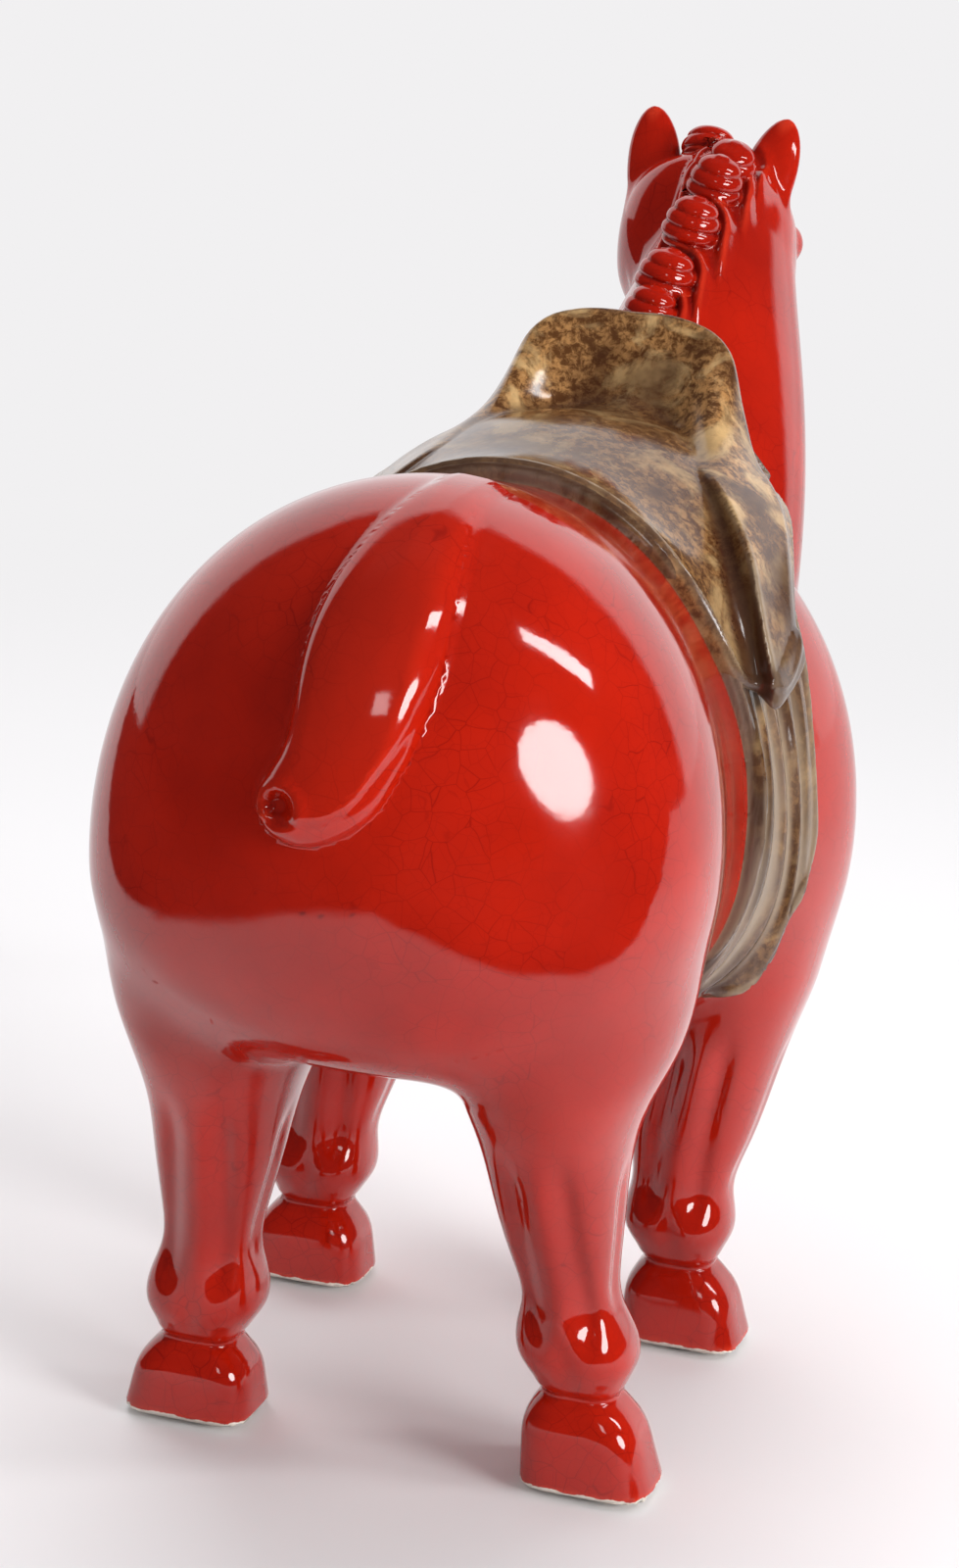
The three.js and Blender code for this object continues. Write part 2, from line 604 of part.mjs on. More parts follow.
function ear(side) {
  const base = headPoint(EAR.t, side * EAR.side, EAR.face);
  const along = new THREE.Vector3(side * Math.tan(EAR_LEAN_OUT), -Math.tan(EAR_LEAN_FORWARD), 1).normalize();
  const across = new THREE.Vector3(1, 0, 0).projectOnPlane(along).normalize();
  const back = new THREE.Vector3().crossVectors(across, along);
  const swell = halfSize([0, 0.4, 0.75, 1], [0.85, 1, 0.8, 0]);
  const ringPoint = (t, angle) => {
    const [wide, deep] = superellipse(angle, EAR_HALF_WIDTH, EAR_HALF_DEPTH, EAR_HALF_DEPTH - EAR_SCOOP, 2);
    const point = base.clone().addScaledVector(along, t * EAR_LENGTH);
    return point.addScaledVector(across, wide * swell(t)).addScaledVector(back, -deep * swell(t));
  };
  return solid(skin(ringPoint, places(9, false, true), 14));
}
piece("ear_left", ear(1).subtract(neckClear), RED_GLAZE);
piece("ear_right", ear(-1).subtract(neckClear), RED_GLAZE);

// Mane knots: banded plaits that stand along the crest

function knot(centre, axis, { radius, height }) {
  const profile = [];
  const steps = 3 * KNOT_BANDS;
  for (let i = 0; i <= steps; i++) {
    const u = (2 * i) / steps - 1;
    const round = (1 - Math.abs(0.985 * u) ** KNOT_SQUARENESS) ** (1 / KNOT_SQUARENESS);
    const dome = radius * (1 - KNOT_TAPER * u) * round;
    const band = KNOT_BAND_DEPTH * (Math.cos((2 * Math.PI * KNOT_BANDS * i) / steps) - 1);
    profile.push(new THREE.Vector2(Math.max(dome + band, 0.5), (height / 2) * u));
  }
  profile.unshift(new THREE.Vector2(0, -height / 2));
  profile.push(new THREE.Vector2(0, height / 2));
  const geometry = new THREE.LatheGeometry(profile, 12);
  geometry.applyQuaternion(new THREE.Quaternion().setFromUnitVectors(new THREE.Vector3(0, 1, 0), axis));
  geometry.translate(centre.x, centre.y, centre.z);
  return solid(geometry);
}
let knotBefore = null;
function placeKnot(name, centre, axis, size) {
  let body = knot(centre, axis.normalize(), size).subtract(neckClear).subtract(saddleClear);
  if (knotBefore) body = body.subtract(grown(knotBefore, SLIP_GAP));
  knotBefore = piece(name, body, RED_GLAZE);
}
MANE.forEach((size, i) => {
  const { t, out, along, middle } = neck.frameAt(size.share);
  const centre = middle.addScaledVector(out, neck.above(t) + KNOT_RISE);
  centre.x += size.side;
  const axis = out.clone().multiplyScalar(Math.cos(KNOT_LEAN)).addScaledVector(along, Math.sin(KNOT_LEAN));
  axis.x -= KNOT_TIP;
  placeKnot(`mane_knot_${i + 1}`, centre, axis, size);
});
const browOut = headPoint(0, 0, 1).sub(headPoint(0, 0, 0));
const browPoint = headPoint(FORELOCK.t, FORELOCK.side, FORELOCK.face);
placeKnot("forelock_knot", browPoint, browOut.add(new THREE.Vector3(0, 0.25, 0.35)), FORELOCK);

// Tail: a folded tail laid on the rump, curling to the horse's left

const tailTs = TAIL.map((section, i) => i);
const tailX = spline(tailTs, TAIL.map((section) => section.x));
const tailZ = spline(tailTs, TAIL.map((section) => section.z));
const tailHalf = halfSize(tailTs, TAIL.map((section) => section.half));
function tailPoint(share, angle) {
  const t = share * (TAIL.length - 1);
  const step = 0.01;
  const along = new THREE.Vector2(tailX(t + step) - tailX(t - step), tailZ(t + step) - tailZ(t - step));
  along.normalize();
  const [across, rise] = superellipse(angle, tailHalf(t), 1, 1, 2.2);
  const x = tailX(t) - along.y * across;
  const z = tailZ(t) + along.x * across;
  const round = tailHalf(t) / Math.max(...TAIL.map((section) => section.half));
  const rootShare = 1 - THREE.MathUtils.smoothstep(share, 0, 0.45);
  const height = TAIL_HEIGHT + (TAIL_ROOT_HEIGHT - TAIL_HEIGHT) * rootShare;
  return new THREE.Vector3(x, rumpSurfaceY(x, z) + height * round * rise, z);
}
const curlY = rumpSurfaceY(CURL.x, CURL.z) + 0.75 * TAIL_HEIGHT + CURL.radius - CURL.depth;
const curl = new THREE.Vector3(CURL.x, curlY, CURL.z);
const tailBody = solid(skin(tailPoint, places(18, true, true), 14)).subtract(ball(CURL.radius, curl));
piece("tail", tailBody.subtract(trunkClear), RED_GLAZE);

// The origin lies on the floor under the middle of the figurine's box.
const box = new THREE.Box3().setFromObject(group);
const middle = box.getCenter(new THREE.Vector3());
for (const mesh of group.children) mesh.geometry.translate(-middle.x, -middle.y, -box.min.z);

export default group;
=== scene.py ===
"""A glazed ceramic horse figurine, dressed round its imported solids.

The clay body is one smooth surface in the real thing. It is described here as a distance field, in millimetres and
in the frame it was designed in, and meshed piece by piece. Metres and the row's frame come in when a piece is made.
"""

import math

import bmesh
import bpy
import numpy as np
from mathutils import Matrix, Quaternion, Vector


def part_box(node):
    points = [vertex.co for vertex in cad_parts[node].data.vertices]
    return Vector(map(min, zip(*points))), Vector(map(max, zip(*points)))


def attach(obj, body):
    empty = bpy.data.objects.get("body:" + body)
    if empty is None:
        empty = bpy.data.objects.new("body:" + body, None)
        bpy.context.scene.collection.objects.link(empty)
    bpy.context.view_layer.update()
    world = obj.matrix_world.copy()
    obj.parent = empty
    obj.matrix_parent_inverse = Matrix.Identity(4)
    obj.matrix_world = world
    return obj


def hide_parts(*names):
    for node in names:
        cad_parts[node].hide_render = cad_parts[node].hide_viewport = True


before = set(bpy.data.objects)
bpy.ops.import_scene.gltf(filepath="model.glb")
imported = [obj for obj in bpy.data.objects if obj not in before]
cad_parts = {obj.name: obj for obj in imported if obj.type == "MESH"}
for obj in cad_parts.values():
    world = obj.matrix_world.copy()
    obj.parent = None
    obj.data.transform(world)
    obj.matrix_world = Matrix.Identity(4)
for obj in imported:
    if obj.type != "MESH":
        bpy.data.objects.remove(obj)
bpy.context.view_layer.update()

MM = 0.001
FAR = 60.0

# ---- Splines ----


class Spline:
    """A natural cubic spline, with its first and second slopes."""

    def __init__(self, xs, ys):
        self.xs = np.asarray(xs, float)
        self.ys = np.asarray(ys, float)
        count = len(self.xs)
        step = np.diff(self.xs)
        rows = np.eye(count)
        right = np.zeros(count)
        for i in range(1, count - 1):
            rows[i, i - 1] = step[i - 1]
            rows[i, i] = 2 * (step[i - 1] + step[i])
            rows[i, i + 1] = step[i]
            right[i] = 6 * ((self.ys[i + 1] - self.ys[i]) / step[i] - (self.ys[i] - self.ys[i - 1]) / step[i - 1])
        self.bend = np.linalg.solve(rows, right)

    def _parts(self, x):
        i = np.clip(np.searchsorted(self.xs, x, side="left") - 1, 0, len(self.xs) - 2)
        h = self.xs[i + 1] - self.xs[i]
        a = (self.xs[i + 1] - x) / h
        return i, h, a, 1 - a

    def __call__(self, x):
        i, h, a, b = self._parts(x)
        cubic = (a**3 - a) * self.bend[i] + (b**3 - b) * self.bend[i + 1]
        return a * self.ys[i] + b * self.ys[i + 1] + cubic * h * h / 6

    def slope(self, x):
        i, h, a, b = self._parts(x)
        cubic = (3 * b * b - 1) * self.bend[i + 1] - (3 * a * a - 1) * self.bend[i]
        return (self.ys[i + 1] - self.ys[i]) / h + cubic * h / 6

    def curve(self, x):
        i, h, a, b = self._parts(x)
        return a * self.bend[i] + b * self.bend[i + 1]


def smooth_min(a, b, k):
    h = np.clip(0.5 + 0.5 * (b - a) / k, 0, 1)
    return b + (a - b) * h - k * h * (1 - h)


def smooth_max(a, b, k):
    return -smooth_min(-a, -b, k)


def smoothstep(x, low, high):
    t = np.clip((x - low) / (high - low), 0, 1)
    return t * t * (3 - 2 * t)


def bump(x, width):
    return np.exp(-((x / width) ** 2))


class Outline:
    """Signed distance to a smooth closed line in a plane, kept on a half millimetre grid."""

    def __init__(self, bend, straight, low, high):
        bend = np.asarray(bend, float)
        run = np.concatenate([[0], np.cumsum(np.hypot(*np.diff(bend, axis=0).T))])
        fine = np.linspace(0, run[-1], 160)
        curve = np.stack([Spline(run, bend[:, k])(fine) for k in (0, 1)], 1)
        ring = np.concatenate([curve, np.asarray(straight, float).reshape(-1, 2)])
        self.low = np.asarray(low, float)
        self.step = 0.5
        self.size = ((np.asarray(high) - self.low) / self.step).astype(int) + 1
        axes = [self.low[k] + self.step * np.arange(self.size[k]) for k in (0, 1)]
        p = np.stack(np.meshgrid(*axes, indexing="ij"), -1).reshape(-1, 2)
        best = np.full(len(p), 1e9)
        inside = np.zeros(len(p), bool)
        for a, b in zip(ring, np.roll(ring, -1, 0)):
            edge = b - a
            length = max((edge**2).sum(), 1e-9)
            t = np.clip(((p - a) @ edge) / length, 0, 1)
            best = np.minimum(best, ((p - a - t[:, None] * edge) ** 2).sum(1))
            if a[1] != b[1]:
                spans = (a[1] > p[:, 1]) != (b[1] > p[:, 1])
                inside ^= spans & (p[:, 0] < a[0] + (p[:, 1] - a[1]) / (b[1] - a[1]) * edge[0])
        self.table = (np.sqrt(best) * np.where(inside, -1, 1)).reshape(self.size)

    def __call__(self, u, v):
        at = (np.stack([u, v], 1) - self.low) / self.step
        at = np.clip(at, 0, self.size - 1.001)
        i = at.astype(int)
        f = at - i
        i, j = i[:, 0], i[:, 1]
        a, b = f[:, 0], f[:, 1]
        table = self.table
        return ((1 - a) * ((1 - b) * table[i, j] + b * table[i, j + 1])
                + a * ((1 - b) * table[i + 1, j] + b * table[i + 1, j + 1]))


def within(points, low, high, field):
    """The field near the box it matters in, and far away elsewhere."""
    inside = np.all((points > np.asarray(low)) & (points < np.asarray(high)), axis=1)
    out = np.full(len(points), FAR)
    if inside.any():
        out[inside] = field(points[inside])
    return out


def power_mean(a, b, n):
    """(a^n + b^n)^(1/n), without trouble at zero."""
    a, b = np.abs(a) + 1e-6, np.abs(b) + 1e-6
    return (a**n + b**n) ** (1 / n)


def closing(reach, square, slope):
    """How far outside a skin a point is: its reach from the axis against the square of the half size there."""
    return (reach**2 - square) / np.sqrt(4 * reach**2 + slope**2 + 4)


# ---- Trunk ----

# y, widest height, half width, top, bottom
TRUNK = np.array([
    [-148, 160, 0, 160, 160],
    [-122, 154, 63, 224, 107],
    [-88, 148, 82.5, 246, 98],
    [-12, 160, 69, 250.5, 103],
    [68, 165, 78.5, 260.3, 113],
    [112, 170, 60, 246, 125],
    [136, 181, 0, 181, 181],
])
SQUARENESS_ABOVE = 2.02
SQUARENESS_BELOW = 2.4
SWAY_SLOPE = 0.045
SWAY_Y = -70
trunk_widest = Spline(TRUNK[:, 0], TRUNK[:, 1])
trunk_half = Spline(TRUNK[:, 0], TRUNK[:, 2] ** 2)
trunk_up = Spline(TRUNK[:, 0], (TRUNK[:, 3] - TRUNK[:, 1]) ** 2)
trunk_down = Spline(TRUNK[:, 0], (TRUNK[:, 1] - TRUNK[:, 4]) ** 2)


def sway(y):
    return SWAY_SLOPE * (y - SWAY_Y)


def trunk(p):
    x, y, z = p[:, 0] - sway(p[:, 1]), p[:, 1], p[:, 2]
    y = np.clip(y, TRUNK[0, 0] - 20, TRUNK[-1, 0] + 20)
    rise = z - trunk_widest(y)
    square = trunk_half(y)
    reach = np.where(rise > 0, trunk_up(y), trunk_down(y))
    ratio = np.clip(square / np.where(np.abs(reach) < 1, 1, reach), 0.3, 4)
    n = SQUARENESS_BELOW + (SQUARENESS_ABOVE - SQUARENESS_BELOW) * smoothstep(rise, -12, 12)
    out = power_mean(x, rise * np.sqrt(ratio), n)
    return closing(out, square, trunk_half.slope(y))


# ---- Legs ----

SOLE_Z = 2.0
# z, half width, half length, squareness
FOOT = [
    (2, 17.7, 18, 3.8),
    (10, 16.6, 16.8, 3.6),
    (19, 14.3, 15, 3.2),
    (24, 11.3, 12.8, 2.8),
    (34, 15.2, 16.6, 2.5),
]
HIND_LEG = FOOT + [
    (49, 13.0, 14.8, 2.4),
    (62, 13.6, 16, 2.4),
    (78, 16.3, 20, 2.4),
    (96, 19.5, 27, 2.3),
    (110, 24.5, 35, 2.2),
    (124, 30, 38, 2.2),
    (138, 30, 36, 2.2),
    (153, 20, 26, 2.2),
    (164, 0, 0, 2.2),
]
FRONT_LEG = FOOT + [
    (46, 14.5, 15.5, 2.4),
    (60, 16.8, 18.5, 2.4),
    (76, 18.6, 24, 2.4),
    (96, 20.6, 30, 2.3),
    (118, 24, 36, 2.2),
    (138, 19, 30, 2.2),
    (152, 0, 0, 2.2),
]
# Where each leg's hoof, fetlock and top lie, and how high its coronet is
STANCES = {
    "leg_hind_left": ((55.6, 47), (54.6, 50), (50.5, 60), 22.0),
    "leg_hind_right": ((-54, 48), (-47.8, 51), (-38, 60), 26.0),
    "leg_front_left": ((60, -66), (59.4, -64), (54.5, -74), 23.5),
    "leg_front_right": ((-53.7, -67), (-48.8, -65), (-55, -75), 24.0),
}
# From the row's frame to the one the tables are written in, found from the pad under one hoof
pad_low, pad_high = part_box("pad_hind_left")
hoof_x, hoof_y = STANCES["leg_hind_left"][0]
SHIFT = np.array([hoof_x - (pad_low[0] + pad_high[0]) / 2 / MM, hoof_y - (pad_low[1] + pad_high[1]) / 2 / MM, 0.0])
CORONET_Z = 24.0
STANCE_ZS = [2, 24, 34, 104, 140]
HAUNCH_BLEND = 11.0
SHOULDER_BLEND = 10.0


def stance_curves(hoof, fetlock, top, _):
    coronet = [hoof[k] + 0.7 * (fetlock[k] - hoof[k]) for k in (0, 1)]
    return [Spline(STANCE_ZS, [hoof[k], coronet[k], fetlock[k], top[k], top[k]]) for k in (0, 1)]


def leg_field(name):
    middle_x, middle_y = stance_curves(*STANCES[name])
    hind = "hind" in name
    lift = CORONET_Z - STANCES[name][3]
    rows = np.array(HIND_LEG if hind else FRONT_LEG)
    half, long = (Spline(rows[:, 0], rows[:, k] ** 2) for k in (1, 2))
    squareness = Spline(rows[:, 0], rows[:, 3])

    def field(p):
        z = np.clip(p[:, 2], 0, 170)
        z = z + lift * smoothstep(z, 0, CORONET_Z) * (1 - smoothstep(z, 34, 70))
        x = p[:, 0] - middle_x(z)
        y = p[:, 1] - middle_y(z)
        square = half(z)
        ratio = np.clip(square / np.where(np.abs(long(z)) < 1, 1, long(z)), 0.3, 2)
        # The heel is flat and the toe is round.
        hoof = 1 - smoothstep(z, 21, 30)
        n = squareness(z) + hoof * (0.8 * smoothstep(y, -6, 6) - 1.2 * smoothstep(-y, -6, 6))
        out = power_mean(x, y * np.sqrt(ratio), n)
        d = closing(out, square, half.slope(z))
        # A tendon stands out behind the cannon, between two hollows, and the coronet is a tight groove.
        shank = smoothstep(z, 36, 48) * (1 - smoothstep(z, 84, 102)) * smoothstep(y, 0, 9)
        d += shank * (1.4 * (bump(x - 6.8, 2.8) + bump(x + 6.8, 2.8)) - 0.9 * bump(x, 3.2))
        d += 1.2 * bump(z - 24.8, 1.6)
        heel = smoothstep(y, 2, 12) * bump(z - 36, 8)
        d += 0.8 * heel * bump(x, 3.0)
        side = smoothstep(np.abs(x), 6, 12) * smoothstep(z, 42, 58) * (1 - smoothstep(z, 82, 96))
        d += (0.9 if hind else 0.6) * side * bump(y - 2, 3.2)
        return smooth_max(d, SOLE_Z - p[:, 2], 1.2)

    return field


leg_fields = {name: leg_field(name) for name in STANCES}


# ---- Neck and head ----


# How far the neck's widest line lies below its middle line, as a share of the way to the throat
WIDEST_DROP = 0.2


class Bent:
    """A skin along a line that bends in a plane of constant x."""

    def __init__(self, rows, squareness, crest):
        rows = np.asarray(rows, float)
        self.crest = crest
        self.ts = np.arange(len(rows), dtype=float)
        self.y, self.z, self.x = (Spline(self.ts, rows[:, k]) for k in (0, 1, 2))
        self.half, self.above, self.below = (Spline(self.ts, rows[:, k] ** 2) for k in (3, 4, 5))
        self.squareness = squareness
        self.last = self.ts[-1]
        self.low = np.array([rows[:, 0].min() - 70, rows[:, 1].min() - 70])
        self.size = (np.array([rows[:, 0].max() + 70, rows[:, 1].max() + 70]) - self.low).astype(int) + 1
        gy, gz = np.meshgrid(*(self.low[k] + np.arange(self.size[k]) for k in (0, 1)), indexing="ij")
        best = np.full(gy.shape, 1e9)
        self.table = np.zeros(gy.shape)
        for t in np.linspace(0, self.last, 80):
            d = (gy - self.y(t)) ** 2 + (gz - self.z(t)) ** 2
            closer = d < best
            best[closer] = d[closer]
            self.table[closer] = t

    def frame(self, p):
        """Where along the line a point lies, its distance across, and its distance out on the crest's side."""
        cell = np.clip(np.rint(p[:, 1:] - self.low).astype(int), 0, self.size - 1)
        t = self.table[cell[:, 0], cell[:, 1]]
        for _ in range(3):
            dy, dz = self.y(t) - p[:, 1], self.z(t) - p[:, 2]
            vy, vz = self.y.slope(t), self.z.slope(t)
            turn = dy * self.y.curve(t) + dz * self.z.curve(t)
            step = (dy * vy + dz * vz) / np.maximum(vy * vy + vz * vz + turn, 40)
            t = np.clip(t - np.clip(step, -0.3, 0.3), -0.6, self.last + 0.6)
        vy, vz = self.y.slope(t), self.z.slope(t)
        speed = np.hypot(vy, vz)
        out = ((p[:, 1] - self.y(t)) * vz - (p[:, 2] - self.z(t)) * vy) / speed
        return t, p[:, 0] - self.x(t), out, speed

    def __call__(self, p):
        t, across, out, speed = self.frame(p)
        square = self.half(t)
        above, below = (np.sqrt(np.maximum(curve(t), 0)) for curve in (self.above, self.below))
        drop = WIDEST_DROP * below
        out = out + drop
        reach = np.where(out > 0, above + drop, below - drop) ** 2
        ratio = np.clip(square / np.where(np.abs(reach) < 1, 1, reach), 0.2, 5)
        n = self.squareness + (self.crest - self.squareness) * smoothstep(out, -2, 10)
        d = closing(power_mean(across, out * np.sqrt(ratio), n), square, self.half.slope(t) / speed)
        # Beyond its ends the skin is only as near as the run along the line.
        over = np.maximum(-t, 0) * speed
        return np.where(over > 0, np.maximum(d, over), d)

    def at(self, t, across, out):
        """The point at t along the line, across it and out from it, and the outward direction there."""
        vy, vz = float(self.y.slope(t)), float(self.z.slope(t))
        speed = math.hypot(vy, vz)
        way = np.array([0, vz / speed, -vy / speed])
        middle = np.array([float(self.x(t)) + across, float(self.y(t)), float(self.z(t))])
        return middle + way * out, way


# y, z, x, half width, reach back, reach forward
NECK = [
    (-80, 192, -4.5, 53, 34, 50),
    (-110, 219, -6.5, 48, 37, 44),
    (-144, 256, -9.5, 37, 36, 40),
    (-171, 292, -10, 25, 29, 33),
    (-187, 317, -8.5, 18, 19, 25),
    (-192, 332, -5, 0, 0, 0),
]
HEAD_POLL = (-172, 328)
HEAD_X = -1.5
HEAD_PITCH = math.radians(47)
# t, half width, face, jaw
HEAD = [
    (0, 0, 0, 0),
    (12, 20, 13, 18),
    (38, 26.6, 18, 30),
    (64, 19, 15, 24),
    (92, 14.5, 12, 15),
    (108, 14, 10, 13),
    (118, 0, 0, 0),
]
neck = Bent(NECK, 2.0, 1.6)
HEAD_COS, HEAD_SIN = math.cos(HEAD_PITCH), math.sin(HEAD_PITCH)
head_half, head_face, head_jaw = (Spline([r[0] for r in HEAD], [r[k] ** 2 for r in HEAD]) for k in (1, 2, 3))


def head_frame(p):
    """Along the head from the poll, to the left, and out of the face."""
    dy, dz = p[:, 1] - HEAD_POLL[0], p[:, 2] - HEAD_POLL[1]
    return -dy * HEAD_COS - dz * HEAD_SIN, p[:, 0] - HEAD_X, -dy * HEAD_SIN + dz * HEAD_COS


def head_point(t, side, face):
    y = HEAD_POLL[0] - t * HEAD_COS - face * HEAD_SIN
    z = HEAD_POLL[1] - t * HEAD_SIN + face * HEAD_COS
    return np.array([HEAD_X + side, y, z])


def head_field(p):
    t, side, face = head_frame(p)
    tt = np.clip(t, -12, 130)
    square = head_half(tt)
    reach = np.where(face > 0, head_face(tt), head_jaw(tt))
    ratio = np.clip(square / np.where(np.abs(reach) < 1, 1, reach), 0.2, 5)
    d = closing(power_mean(side, face * np.sqrt(ratio), 2.1), square, head_half.slope(tt))
    # Cheek, and the hollow between it and the muzzle
    d -= 1.6 * bump(t - 47, 14) * bump(face + 11, 9) * smoothstep(np.abs(side), 8, 18)
    d += 1.3 * bump(t - 76, 9) * bump(face + 2, 7) * smoothstep(np.abs(side), 6, 13)
    return d


def ball(p, centre, radius):
    return np.linalg.norm(p - centre, axis=1) - radius


EYES = [head_point(38, side * 21.5, 6) for side in (1, -1)]
NOSTRILS = [head_point(108, side * 12.5, 5) for side in (1, -1)]

EAR_BASE = np.array([15.2, -185.5, 310.5])
EAR_TIP = np.array([21.1, -198.3, 342.2])
EAR_HALF = 8.4
EAR_DEPTH = 5.0
ear_swell = Spline([0, 0.4, 0.75, 1], np.array([0.85, 1, 0.8, 0]) ** 2)


def ear_field(side):
    base = np.array([HEAD_X + side * EAR_BASE[0], EAR_BASE[1], EAR_BASE[2]])
    tip = np.array([HEAD_X + side * EAR_TIP[0], EAR_TIP[1], EAR_TIP[2]])
    along = tip - base
    length = np.linalg.norm(along)
    along = along / length
    across = np.array([1.0, 0, 0]) - along[0] * along
    across /= np.linalg.norm(across)
    back = np.cross(across, along)
    if back[1] < 0:
        back = -back

    def field(p):
        d = p - base
        run = d @ along
        t = np.clip(run / length, -0.3, 1.2)
        wide, deep = d @ across, d @ back
        square = ear_swell(t) * EAR_HALF**2
        ratio = np.where(deep > 0, EAR_HALF / EAR_DEPTH, EAR_HALF / (0.7 * EAR_DEPTH))
        out = closing(power_mean(wide, deep * ratio, 2), square, ear_swell.slope(t) * EAR_HALF**2 / length)
        # The hollow opens forward and runs up to a little below the tip.
        scoop = power_mean(wide / (0.66 * np.sqrt(np.maximum(ear_swell(t), 0.02))), (deep + 6.2) * 1.1, 2) - 6.2
        scoop = smooth_max(scoop, 4 - run, 3)
        return smooth_max(out, -scoop, 1.2)

    return field


ear_fields = [ear_field(1), ear_field(-1)]

# Mane: banded knots of hair, standing on the crest, each under a lock that arches over it
# share of the neck, x from the neck's middle, radius, height
MANE = [
    (0.447, 8.0, 7.6, 15.0),
    (0.510, 6.5, 8.3, 16.0),
    (0.615, 3.5, 8.0, 16.5),
    (0.745, 0.0, 7.8, 15.5),
    (0.875, -3.5, 7.4, 13.0),
]
KNOT_LEAN = math.radians(50)
KNOT_RISE = 2.2
KNOT_PITCH = 4.3
KNOT_SQUARENESS = 2.6
GROOVE_DEPTH = 0.75
FORELOCK = (8, 0.5, 14.5, 8.0, 12.0)
LOCK_HEIGHT = 1.9
LOCK_WIDTH = 2.0


def knot_places():
    """The middle, the axis and the crest's outward direction for each knot."""
    places = []
    for share, offset, radius, height in MANE:
        t = share * neck.last
        crest, way = neck.at(t, offset, math.sqrt(float(neck.above(t))))
        uphill = np.array([0, -way[2], way[1]])
        axis = way * math.cos(KNOT_LEAN) + uphill * math.sin(KNOT_LEAN) + np.array([-0.22, 0, 0])
        axis /= np.linalg.norm(axis)
        places.append((crest + way * (KNOT_RISE - 0.35 * 0.04 * offset**2), axis, way, radius, height))
    t, side, face, radius, height = FORELOCK
    way = head_point(0, 0, 1) - head_point(0, 0, 0)
    axis = way + np.array([0, 0.25, 0.35])
    places.append((head_point(t, side, face), axis / np.linalg.norm(axis), way, radius, height))
    return places


KNOTS = knot_places()


def knot_field(centre, axis, way, radius, height):
    def field(p):
        d = p - centre
        h = d @ axis
        r = np.sqrt(np.maximum((d * d).sum(1) - h * h, 1e-9))
        u = h / (height / 2)
        # A beehive: wider below its middle, with a small cap
        wide = radius * (1 - 0.16 * np.clip(u, -1.5, 1.5))
        body = ((r / wide) ** KNOT_SQUARENESS + np.abs(u) ** KNOT_SQUARENESS + 1e-9) ** (1 / KNOT_SQUARENESS)
        out = (body - 1) * radius
        groove = (1 - np.abs(np.sin(np.pi * (h - height / 2) / KNOT_PITCH))) ** 1.5
        return out + GROOVE_DEPTH * groove * smoothstep(r, 1.2, 3.6)

    return field


def lock_rise(centre, axis, way, radius, height):
    """A thin raised lock of hair that arches over a knot on the uphill side and tapers down beside it."""
    uphill = np.array([0, -way[2], way[1]])

    def rise(p):
        d = p - centre
        a, b, c = d[:, 0], d @ uphill, d @ way
        low = np.maximum(-b, 0)
        arch = np.where(b > 0, np.hypot(a, b * 0.82), np.abs(a) - 0.10 * low)
        fade = (1 - smoothstep(low, 4, 22)) * (1 - smoothstep(np.abs(c), 9, 18))
        return LOCK_HEIGHT * bump(arch - (radius + LOCK_WIDTH), LOCK_WIDTH) * fade

    return rise


knot_fields = [knot_field(*place) for place in KNOTS]
lock_rises = [lock_rise(*place) for place in KNOTS[:len(MANE)]]

# ---- Tail ----

# x, z round the tail as it lies on the rump, from the root's left side down and round
TAIL_EDGE = [(2, 263), (7.8, 254.7), (10.8, 249.3), (14.6, 240.5), (17.1, 229.5), (17.5, 218.6), (17.7, 209.6),
             (19.2, 202.6), (22.8, 195.2), (23.5, 189.3), (21, 183.9), (15.8, 181), (9.7, 181), (2.8, 183.8),
             (-4.7, 189.9), (-9.4, 198.4), (-12.4, 206.6), (-13.9, 214.5), (-15.2, 222.2), (-15.2, 230.8),
             (-14.8, 239.2), (-13.9, 245.4), (-12.2, 251.3), (-8, 263)]
# The upper fold ends along this line; below it a flatter band runs round the tip.
FOLD_EDGE = [(4, 268), (20, 250), (24, 230), (24, 212), (28, 200), (28, 190), (21, 187.2), (15.1, 187.7),
             (9.1, 188.6), (3.4, 190.3), (-1.9, 195.3), (-5.7, 201.4), (-8.5, 206.2), (-11.5, 213.1),
             (-12.8, 218.8), (-19, 236), (-18, 252), (-10, 268)]
TAIL_HEIGHT = 7.2
TAIL_ROUND = 6.5
FOLD_DROP = 1.5
PIT = (16.8, 190.8)
PIT_DEPTH = 4.4


tail_outline = Outline(TAIL_EDGE, [], (-45, 160), (50, 285))
fold_outline = Outline(FOLD_EDGE, [], (-45, 160), (50, 285))


def tail_field(p, skin):
    """The tail lies on the rump: its height is counted from the trunk's own field."""
    x, z = p[:, 0], p[:, 2]
    inward = np.maximum(-tail_outline(x, z), 0)
    part = np.clip(inward / TAIL_ROUND, 0, 1)
    shoulder = np.sqrt(np.maximum(1 - (1 - part) ** 2, 0))
    crown = TAIL_HEIGHT * (1 - 0.82 * smoothstep(z, 212, 262))
    height = crown * shoulder + 0.9 * smoothstep(inward, 0, 14)
    height -= FOLD_DROP * smoothstep(fold_outline(x, z), -1.2, 1.0) * smoothstep(-z, -236, -205)
    beyond = np.maximum(tail_outline(x, z), 0)
    pit = np.hypot(x - PIT[0], z - PIT[1])
    height -= PIT_DEPTH * (1 - smoothstep(pit, 1.0, 5.4)) - 0.7 * bump(pit - 6.2, 1.6)
    return np.hypot(np.maximum(skin - height, 0) * 0.75, beyond) + np.minimum(skin - height, 0) * 0.75


# ---- The whole body ----

